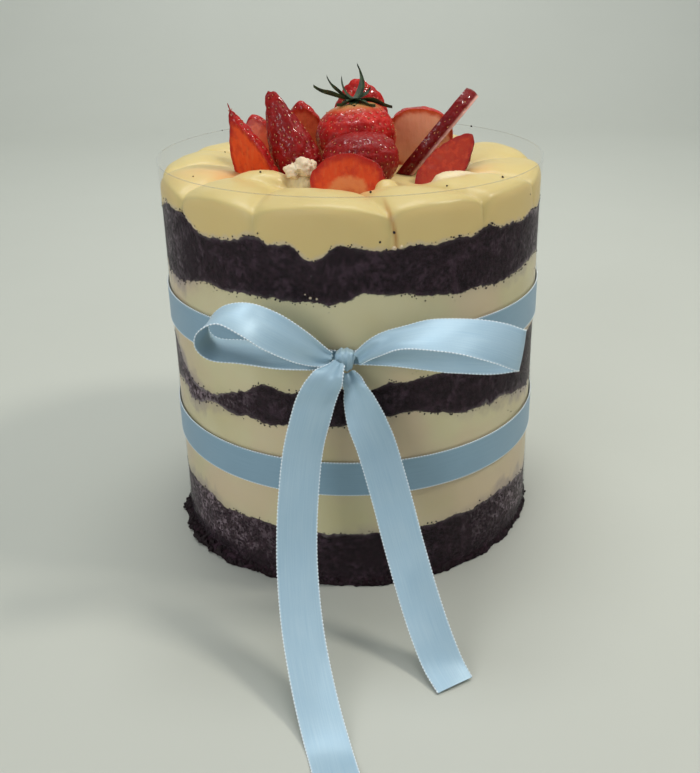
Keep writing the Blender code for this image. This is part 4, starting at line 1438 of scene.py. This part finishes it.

# %% [markdown]
# ## Strawberries
#
# A strawberry is a turned shape, widest near its shoulder, that is never quite round. Its skin is pitted:
# each seed sits in its own dimple and the skin puffs up between them. We lay the seeds out in staggered
# rows, press the skin in near each one, then slice the shape with one or two planes where the baker's knife
# went; the skin's finish paints shade into the dimples. Every cut is closed with rings that shrink to the
# middle, so the flesh can be coloured by how far it lies from the skin: red rim, orange body, pale arch,
# hollow heart. The skin has pale flecks between its seeds, which fade as a berry ripens. The flesh is
# mottled, and the ripest slices are dark with brighter blotches; on the long slice at the right this dark
# flesh is painted shade.

# %% Strawberry finishes
SKIN_DEEP = (0.34, 0.0070, 0.0060)
SKIN_BRIGHT = (0.58, 0.016, 0.009)
SKIN_RIPE = (0.16, 0.0045, 0.0055)
SKIN_FLECK = (0.74, 0.16, 0.09)
SKIN_ORANGE = (0.50, 0.075, 0.022)
SKIN_GREEN = (0.42, 0.225, 0.075)
DIMPLE_SHADE = (0.10, 0.004, 0.004)
PITH = (0.82, 0.44, 0.36)
FLESH_RED = (0.76, 0.080, 0.014)
FLESH_PALE = (0.97, 0.47, 0.27)
RIM_RED = (0.46, 0.02, 0.009)
RIM_PALE = (0.62, 0.08, 0.03)
FLESH_MOTTLE = (0.46, 0.028, 0.012)
FLESH_ARCH = (0.78, 0.26, 0.085)
FLESH_HEART = (0.55, 0.10, 0.03)
FLESH_SHOULDER = (0.68, 0.12, 0.025)
FLESH_STREAK = (0.76, 0.24, 0.06)
STREAK_SCALE = (900, 900, 160)
RIPE_AND_SHADED_FLESH = (0.24, 0.010, 0.008)
RIPE_BLOTCH = (0.54, 0.060, 0.020)
SEED_RED = (0.44, 0.06, 0.022)
SEED_GOLD = (0.64, 0.31, 0.10)


def berry_skin_finish():
    skin = Finish("strawberry_skin", Coat_Roughness=0.10, Subsurface_Weight=0.08, Subsurface_Scale=0.002,
                  Subsurface_Radius=(1.0, 0.15, 0.08), Specular_IOR_Level=0.16)
    patches = skin.grain(7 * MM, 2.0)
    colour = skin.mix(patches.between(0.35, 0.65), SKIN_DEEP, SKIN_BRIGHT)
    colour = skin.mix(skin.reading("ripe"), colour, SKIN_RIPE)
    flecks = (1 - skin.cells(1.3 * MM).between(0.15, 0.36)) * skin.grain(4 * MM).between(0.40, 0.58)
    colour = skin.mix(flecks * (0.70 - 0.85 * skin.reading("ripe")), colour, SKIN_FLECK)
    shoulder = skin.reading("shoulder") + (skin.grain(3 * MM) - 0.5) * 0.3
    colour = skin.mix(shoulder.between(0.20, 0.70), colour, SKIN_ORANGE)
    colour = skin.mix(shoulder.between(0.50, 0.90), colour, SKIN_GREEN)
    # Painted shade: the skin darkens in its dimples.
    colour = skin.mix(skin.reading("dimple").between(0.3, 0.95) * 0.25, colour, DIMPLE_SHADE)
    colour = skin.mix(skin.reading("pith"), colour, PITH)
    skin.put("Base Color", colour)
    skin.put("Roughness", 0.32 + patches * 0.2)
    skin.put("Coat Weight", skin.grain(0.9 * MM, 2.0).between(0.53, 0.62))
    skin.relief(skin.grain(0.9 * MM, 3.0), 0.24 * MM, 0.9)
    return skin


def berry_flesh_finish():
    flesh = Finish("strawberry_flesh", Coat_Weight=0.10, Coat_Roughness=0.12, Subsurface_Weight=0.10,
                   Subsurface_Scale=0.003, Subsurface_Radius=(1.0, 0.25, 0.1), Specular_IOR_Level=0.2)
    depth = flesh.reading("depth")
    pale = flesh.reading("pale")
    shoulder = flesh.reading("shoulder")
    ragged = depth + (flesh.grain(2.2 * MM, 3.0) - 0.5) * 0.20
    arch = flesh.reading("arch")
    body = flesh.mix(pale, FLESH_RED, FLESH_PALE)
    rim = flesh.mix(pale, RIM_RED, RIM_PALE)
    mottle = flesh.grain(2.8 * MM, 3.0).between(0.46, 0.66) * 0.45
    body = flesh.mix(mottle * (1 - pale), body, FLESH_MOTTLE)
    colour = flesh.mix(ragged.between(0.02, 0.20), rim, body)
    colour = flesh.mix(arch * ragged.between(0.40, 0.55), colour, FLESH_ARCH)
    colour = flesh.mix(arch * ragged.between(0.66, 0.84) * 0.9, colour, FLESH_HEART)
    colour = flesh.mix(pale * shoulder.between(0.3, 0.9) * 0.6, colour, FLESH_SHOULDER)
    streaks = flesh.node("ShaderNodeTexNoise", None, flesh.stretched(STREAK_SCALE), Scale=1.0, Detail=2.0)
    colour = flesh.mix(streaks.between(0.5, 0.75) * 0.22, colour, FLESH_STREAK)
    # Ripeness darkens the flesh; on the long slice this darkening is painted shade on its cut faces.
    ripe = flesh.reading("ripe").between(0.3, 1.0)
    colour = flesh.mix(ripe, colour, RIPE_AND_SHADED_FLESH)
    blotches = flesh.grain(2.0 * MM, 3.0).between(0.50, 0.64)
    colour = flesh.mix(blotches * ripe * 0.7, colour, RIPE_BLOTCH)
    flesh.put("Base Color", colour)
    flesh.put("Roughness", 0.28 + 0.2 * streaks)
    flesh.relief(streaks * 0.6 + flesh.grain(1.2 * MM) * 0.5, 0.22 * MM, 0.6)
    return flesh


def seed_finish():
    seed = Finish("strawberry_seed", Roughness=0.35, Coat_Weight=0.4)
    seed.put("Base Color", seed.mix(seed.grain(2.5 * MM), SEED_RED, SEED_GOLD))
    return seed


berry_skin = berry_skin_finish()
berry_flesh = berry_flesh_finish()
berry_seed = seed_finish()
print("strawberry finishes ready")

# %% [markdown]
# The table of berries is the one that shapes the solids: width, how much of it is kept between two cuts,
# foot, top, facing, and its profile as it stands. Five more numbers say how pale its flesh is, how dark its
# skin and flesh are, from ripeness and, on the long slice at the right, from painted shade on its cut faces,
# how much green is left round its shoulder, how clearly the cut shows the pale arch round its heart, and
# whether white pith shows along the lower cut. The one slice that shows it in full was cut across, so its
# heart lies low and the arch is open at the foot.

# %% Strawberry shapes
BERRIES = {
    "whole": (32, (-1, 1), (3.5, -3, 137.5), (1.5, 1, 170.5), (0, -1, 0), "shoulder",
              (0, 0.15, 1, 0, 0)),
    "front_half": (28, (0, 1), (4.5, -18.5, 137.5), (3, -17.2, 162.5), (0, -1, 0.1), "shoulder",
                   (0, 0.7, 0, 0, 0)),
    "front_slice": (27, (-0.2, 0.2), (-1, -41, 137.5), (-1.5, -36.5, 158.5), (0, -1, 0.2), "dome",
                    (0, 0.5, 0, 1, 0)),
    "left_slice": (16, (-0.28, 0.28), (-31.8, -17.4, 138), (-45, -17, 173.5), (-0.5, -0.8, 0.2), "fin",
                   (0, 0.35, 0, 0, 0)),
    "left_rear_slice": (19, (-0.28, 0.28), (-27, -4, 138), (-38.5, 4, 166), (-0.3, -0.9, 0.3), "tip",
                        (0.15, 0.4, 0, 0.2, 0)),
    "left_wedge": (19.5, (0.15, 1), (-16, -12, 138), (-32, -8, 182), (-0.15, -1, 0.1), "fin",
                   (0, 0.65, 0, 0, 0)),
    "rear_slice": (19, (-0.26, 0.26), (-17, 18, 138), (-20, 15.5, 169.5), (-0.1, -1, 0.1), "tip",
                   (0.2, 0.45, 0, 0.3, 0)),
    "back_half": (28, (0.35, 1), (4.5, 33, 139), (4, 29, 180.5), (0, -1, 0), "tip",
                  (0, 0.1, 0, 0.3, 0)),
    "right_rear_slice": (28, (-0.18, 0.18), (27, 15.5, 138), (28.5, 13.5, 166.5), (0, -1, 0.1), "shoulder",
                         (0.95, 0.2, 0, 0, 0)),
    "right_long_slice": (20, (-0.28, 0.28), (17, -5, 139), (47.5, -1, 174.5), (-0.72, 0.2, 0.69), "shoulder",
                         (0, 0.95, 0, 0, 1)),
    "right_slice": (15, (-0.7, 0.1), (26, -23, 138.5), (45.5, -17, 161), (-0.3, -0.85, 0.45), "tip",
                    (0, 0.75, 0, 0, 0)),
}
PROFILES = {"shoulder": (0.42, 0.70), "tip": (0.42, 0.70), "fin": (0.42, 1.15), "dome": (0.5, 0.5)}
BERRY_SEGMENTS = 120
BERRY_RINGS = 84
OVALNESS = 0.05
THREE_SIDES = 0.03
SEED_ROW = 2.8 * MM
SEED_SPACING = 3.2 * MM
DIMPLE_SIZE = 0.95 * MM
DIMPLE_DEPTH = 0.32 * MM
PUFF = 0.14 * MM
SKIN_INSET = 0.2 * MM
SEED_MARGIN = 0.5 * MM
FLESH_RELIEF = 0.16 * MM
LOW_HEART = 0.22
FLESH_RINGS = (0.985, 0.95, 0.9, 0.82, 0.72, 0.6, 0.48, 0.36, 0.24, 0.12)


def girth(height, profile):
    """A strawberry's share of its full width at a share of its height."""
    first, last = PROFILES[profile]
    fullest = first / (first + last)
    most = fullest ** first * (1 - fullest) ** last
    place = 1 - height if profile == "shoulder" else height
    return max(0.0, place) ** first * max(0.0, 1 - place) ** last / most


class Berry:
    """One strawberry in its own frame, with its foot at the origin and its length along +Z."""

    def __init__(self, name, number):
        width, kept, foot, top, facing, self.profile, looks = BERRIES[name]
        self.pale, self.ripe, self.green, self.arch, self.pith = looks
        self.kept = kept
        self.foot = Vector(foot) * MM
        self.axis = Vector(top) * MM - self.foot
        self.length = self.axis.length
        self.width = width * MM
        self.facing = Vector(facing)
        draw = random.Random(70 + number)
        self.lean = draw.uniform(0, 360)
        self.draw = draw
        self.seeds = self.lay_seeds()

    def point(self, angle, height):
        """A point of the smooth skin at an angle and a share of the length."""
        uneven = 1 + OVALNESS * math.sin(math.radians(2 * angle + self.lean))
        uneven += THREE_SIDES * math.sin(math.radians(3 * angle))
        return at_angle(girth(height, self.profile) * self.width / 2 * uneven, angle, height * self.length)

    def normal(self, angle, height):
        """The direction straight out of the smooth skin."""
        step = 0.01
        up = self.point(angle, min(0.999, height + step)) - self.point(angle, max(0.001, height - step))
        round_way = self.point(angle + 1, height) - self.point(angle - 1, height)
        return round_way.cross(up).normalized()

    def lay_seeds(self):
        """Staggered rows of seeds, each as an angle and a share of the length."""
        seeds = []
        rows = round(self.length / SEED_ROW)
        for row in range(1, rows):
            height = (row + self.draw.uniform(-0.2, 0.2)) / rows
            around = math.pi * girth(height, self.profile) * self.width
            count = max(3, round(around / (SEED_SPACING * (1.1 - 0.3 * self.ripe))))
            if self.profile == "shoulder" and height > 0.93:
                continue
            for number in range(count):
                angle = (number + 0.5 * (row % 2) + self.draw.uniform(-0.24, 0.24)) * 360 / count
                jitter = self.draw.uniform(-0.022, 0.022)
                seeds.append((angle, min(0.97, max(0.03, height + jitter))))
        return seeds

    def matrix(self):
        """Where the berry stands on the cake: its foot, its lean and the side that it shows."""
        axis = self.axis.normalized()
        front = (self.facing - axis * self.facing.dot(axis)).normalized()
        side = front.cross(axis)
        return Matrix.Translation(self.foot) @ Matrix((side, front, axis)).transposed().to_4x4()


def boundary_loop(edges):
    """The cut's edges in order, as a loop of points."""
    links = {}
    for edge in edges:
        for vert in edge.verts:
            links.setdefault(vert, []).append(edge.other_vert(vert))
    first = next(iter(links))
    loop = [first]
    before, here = None, first
    while True:
        ahead = [vert for vert in links[here] if vert is not before]
        before, here = here, ahead[0]
        if here is first:
            return loop
        loop.append(here)


def close_cut(bm, edges, berry, depth_layer):
    """Fills a cut with rings that shrink to its heart, with a little relief in the flesh."""
    loop = boundary_loop(edges)
    middle = sum((vert.co for vert in loop), Vector()) / len(loop)
    if berry.arch == 1:
        middle.z = LOW_HEART * berry.length
    normal = (loop[0].co - middle).cross(loop[len(loop) // 4].co - middle).normalized()
    rings = [loop]
    for share in FLESH_RINGS:
        ring = []
        for vert in loop:
            place = middle + (vert.co - middle) * share
            place += normal * (FLESH_RELIEF * rough(place, 3 * MM, berry.lean))
            made = bm.verts.new(place)
            made[depth_layer] = 1 - share
            ring.append(made)
        rings.append(ring)
    faces = []
    count = len(loop)
    for outer, inner in zip(rings, rings[1:]):
        for number in range(count):
            after = (number + 1) % count
            faces.append(bm.faces.new((outer[number], outer[after], inner[after], inner[number])))
    faces.append(bm.faces.new(rings[-1]))
    for face in faces:
        face.material_index = 1


def is_flesh(vert, depth_layer):
    """Whether a point lies in a cut face, where the finish reads how far it is from the skin."""
    return vert[depth_layer] > 0


def berry_mesh(berry):
    """The dimpled, sliced strawberry, and the numbers that its finishes read."""
    tree = kdtree.KDTree(len(berry.seeds))
    for number, (angle, height) in enumerate(berry.seeds):
        tree.insert(berry.point(angle, height), number)
    tree.balance()
    bm = bmesh.new()
    depth_layer = bm.verts.layers.float.new("depth")
    dimple_layer = bm.verts.layers.float.new("dimple")
    rings = []
    for row in range(1, BERRY_RINGS):
        height = 0.5 - 0.5 * math.cos(math.pi * row / BERRY_RINGS)
        ring = []
        for number in range(BERRY_SEGMENTS):
            angle = number * 360 / BERRY_SEGMENTS
            point = berry.point(angle, height)
            away = tree.find(point)[2]
            press = math.exp(-(away / DIMPLE_SIZE) ** 2)
            puff = PUFF * smooth_step(0.5 * DIMPLE_SIZE, 1.9 * DIMPLE_SIZE, away)
            lump = 0.6 * MM * rough(point, 8 * MM, berry.lean)
            lump += 0.22 * MM * rough(point, 2.6 * MM, berry.lean)
            point += berry.normal(angle, height) * (puff + lump - DIMPLE_DEPTH * press - SKIN_INSET)
            vert = bm.verts.new(point)
            vert[dimple_layer] = press
            ring.append(vert)
        rings.append(ring)
    skin_rings(bm, rings)
    for limit, side in ((berry.kept[0], -1), (berry.kept[1], 1)):
        if abs(limit) == 1:
            continue
        plane = limit * berry.width / 2
        cut = bmesh.ops.bisect_plane(bm, geom=bm.verts[:] + bm.edges[:] + bm.faces[:], dist=1e-6,
                                     plane_co=(0, plane, 0), plane_no=(0, side, 0), clear_outer=True)
        edges = [part for part in cut["geom_cut"] if isinstance(part, bmesh.types.BMEdge)]
        close_cut(bm, edges, berry, depth_layer)
    bmesh.ops.recalc_face_normals(bm, faces=bm.faces)
    shoulder = []
    for vert in bm.verts:
        height = vert.co.z / berry.length
        place = 1 - height if berry.profile == "shoulder" else height
        band = max(0.0, 1 - place * 6)
        shoulder.append(band if is_flesh(vert, depth_layer) else band * berry.green)
    count = len(bm.verts)
    low_cut = berry.kept[0] * berry.width / 2
    pith = [berry.pith * (1 - smooth_step(0.3 * MM, 1.3 * MM, vert.co.y - low_cut)) for vert in bm.verts]
    bmesh.ops.transform(bm, matrix=berry.matrix(), verts=bm.verts)
    return bm, {"shoulder": shoulder, "pale": [berry.pale] * count, "ripe": [berry.ripe] * count,
                "arch": [berry.arch] * count, "pith": pith}


def add_seeds(bm, berry):
    """Small pointed seeds in the dimples of the skin that the knife left."""
    matrix = berry.matrix()
    low, high = [limit * berry.width / 2 for limit in berry.kept]
    uncut_low, uncut_high = [abs(limit) == 1 for limit in berry.kept]
    for angle, height in berry.seeds:
        point = berry.point(angle, height)
        above_low = uncut_low or point.y > low + SEED_MARGIN
        below_high = uncut_high or point.y < high - SEED_MARGIN
        if not (above_low and below_high):
            continue
        normal = berry.normal(angle, height)
        ahead = (berry.point(angle, min(0.99, height + 0.02)) - point).normalized()
        side = ahead.cross(normal).normalized()
        turn = Matrix((side, ahead, normal)).transposed()
        centre = point - normal * (DIMPLE_DEPTH * 0.80)
        size = berry.draw.uniform(0.75, 1.15) * MM

        def place_of(ball_point):
            taper = 1 - 0.35 * max(0.0, ball_point.y)
            local = Vector((ball_point.x * 0.25 * taper, ball_point.y * 0.42, ball_point.z * 0.22)) * size
            return matrix @ (centre + turn @ local)

        add_ball(bm, place_of)


def make_berries():
    seeds = bmesh.new()
    for number, name in enumerate(BERRIES):
        berry = Berry(name, number)
        bm, readings = berry_mesh(berry)
        piece = add_piece("berry_" + name, bm, [berry_skin, berry_flesh], smooth_angle=50, readings=readings)
        add_seeds(seeds, berry)
        print("berry", name, "faces:", len(piece.data.polygons), "seeds:", len(berry.seeds))
    add_piece("berry_seeds", seeds, [berry_seed], smooth_angle=80)


make_berries()

# %% [markdown]
# ## The green star on the whole berry
#
# The calyx is a ring of narrow leaves round the stalk's scar. Fresh ones lift and curl at the tip, each its
# own way. A leaf is a strip of rows from the hub to a point: its width swells and tapers, its middle is
# creased along the rib, and it rises, rolls over on its side and hooks its tip. The table gives each leaf's
# angle round the hub, its length, rise and half width in millimetres and its roll in degrees, and a second
# row gives the degrees that it curls sideways.

# %% Calyx
CALYX_CENTRE = Vector((1.5, 1.0, 171.0)) * MM
HUB_RADIUS = 2.0 * MM
HUB_DROP = Vector((0, 0, -0.4)) * MM
HUB_FLATNESS = 0.45
LEAF_THICKNESS = 0.35 * MM
LEAF_CUP = 0.7 * MM
SEPALS = (
    (5, 15, -2.8, 1.6, -30), (42, 9, 3.0, 1.5, 0), (82, 11, 11.0, 1.2, 0), (125, 8, 7.0, 1.6, 35),
    (160, 11, 7.5, 1.3, 40), (187, 15.5, 4.6, 1.2, 45), (228, 10, -0.4, 2.0, 20), (272, 8.5, -0.8, 2.1, 0),
    (318, 11, -1.0, 2.0, -20),
)
CURLS = (-14, 10, 34, -22, -16, 14, -18, 8, 16)
TIP_HOOK = 1.3 * MM
DROOP = 1.2 * MM
LEAF_ROWS = 14


def leaf_finish():
    leaf = Finish("calyx_leaf", Subsurface_Weight=0.05, Subsurface_Scale=0.001, Specular_IOR_Level=0.4)
    rib = leaf.reading("rib")
    tone = leaf.grain(2.5 * MM, 3.0)
    colour = leaf.mix(tone.between(0.3, 0.7), (0.009, 0.019, 0.010), (0.032, 0.066, 0.022))
    colour = leaf.mix((1 - rib.between(0.0, 0.22)) * 0.5, colour, (0.08, 0.12, 0.04))
    leaf.put("Base Color", colour)
    leaf.put("Roughness", 0.42 + tone * 0.2)
    leaf.relief(tone, 0.15 * MM, 0.7)
    return leaf


def sepal_rows(sepal, curl):
    """Rows of five points, from the hub out to the leaf's tip."""
    angle, length, rise, half_width, roll = sepal
    rows = []
    for step in range(LEAF_ROWS + 1):
        place = step / LEAF_ROWS
        lift = rise * MM * place ** 1.6 + (0.5 if rise > 0 else 0.9) * MM * math.sin(math.pi * place)
        lift += TIP_HOOK * max(0.0, place - 0.7) ** 2 * 11
        if rise < 0:
            lift -= DROOP * place ** 1.5
        half = half_width * (1.0 + 0.5 * math.sin(math.pi * min(1.0, place * 1.25))) * (1 - place ** 3) * MM
        turn = math.radians(roll) * min(1.2, place * 1.9)
        direction = angle + curl * (place * place - 1)
        row = []
        for side in (-1, -0.5, 0, 0.5, 1):
            point = at_angle(length * MM * place, direction, lift + LEAF_CUP * abs(side))
            point += at_angle(half * side * math.cos(turn), direction + 90, half * side * math.sin(turn))
            row.append((CALYX_CENTRE + point, abs(side)))
        rows.append(row)
    return rows


def make_calyx():
    bm = bmesh.new()
    ribs = []
    for number, (sepal, curl) in enumerate(zip(SEPALS, CURLS)):
        rows = sepal_rows(sepal, curl)
        lift = Vector((0, 0, 0.06 * MM * (number % 3)))
        rings = []
        for row in rows:
            front = [bm.verts.new(point + lift) for point, _ in row]
            ribs.extend(side for _, side in row)
            back = [bm.verts.new(point + lift - Vector((0, 0, LEAF_THICKNESS * (1 - 0.7 * side))))
                    for point, side in row]
            ribs.extend(side for _, side in row)
            rings.append(front + back[::-1])
        skin_rings(bm, rings)
    bmesh.ops.recalc_face_normals(bm, faces=bm.faces)
    hub_place = Matrix.Translation(CALYX_CENTRE + HUB_DROP) @ Matrix.Diagonal((1, 1, HUB_FLATNESS, 1))
    bmesh.ops.create_uvsphere(bm, u_segments=16, v_segments=8, radius=HUB_RADIUS, matrix=hub_place)
    ribs += [0.5] * (len(bm.verts) - len(ribs))
    return add_piece("calyx_leaves", bm, [leaf_finish()], smooth_angle=70, readings={"rib": ribs})


print("calyx faces:", len(make_calyx().data.polygons))

# %% [markdown]
# ## The dressed cake in the solids' place
#
# Each dressed piece stands for one solid, which is hidden, and rides on the cake's one body. The ribbons
# are cloth, and each one's length, the size that it was cut to, is printed where it is made. Last, the size
# of the dressed cake is printed, to set beside the size of the solids printed at the start.

# %% Replace the solids and finish
STANDS_FOR = {
    "bottom_sponge": ("sponge_bottom", "sponge"),
    "middle_sponge": ("sponge_middle", "sponge"),
    "top_sponge": ("sponge_top", "sponge"),
    "lower_cream": ("cream_lower", "cream"),
    "upper_cream": ("cream_upper", "cream"),
    "top_cream": ("cream_top", "cream"),
    "film_shell": ("film_collar", "clear_film"),
    "knot_satin": ("bow_knot", "satin"),
    "calyx_leaves": ("strawberry_calyx", "leaf"),
}
STANDS_FOR.update({"berry_" + name: ("strawberry_" + name, "strawberry") for name in BERRIES})

for name, (node, slot) in STANDS_FOR.items():
    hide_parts(node)
for node, (strip, picots, length) in {**bands, **bow_parts}.items():
    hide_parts(node)
for piece in pieces.values():
    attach(piece, "root")

dressed_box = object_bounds()
dressed_size = dressed_box[1] - dressed_box[0]
print("dressed size in mm:", [round(side / MM, 1) for side in dressed_size])
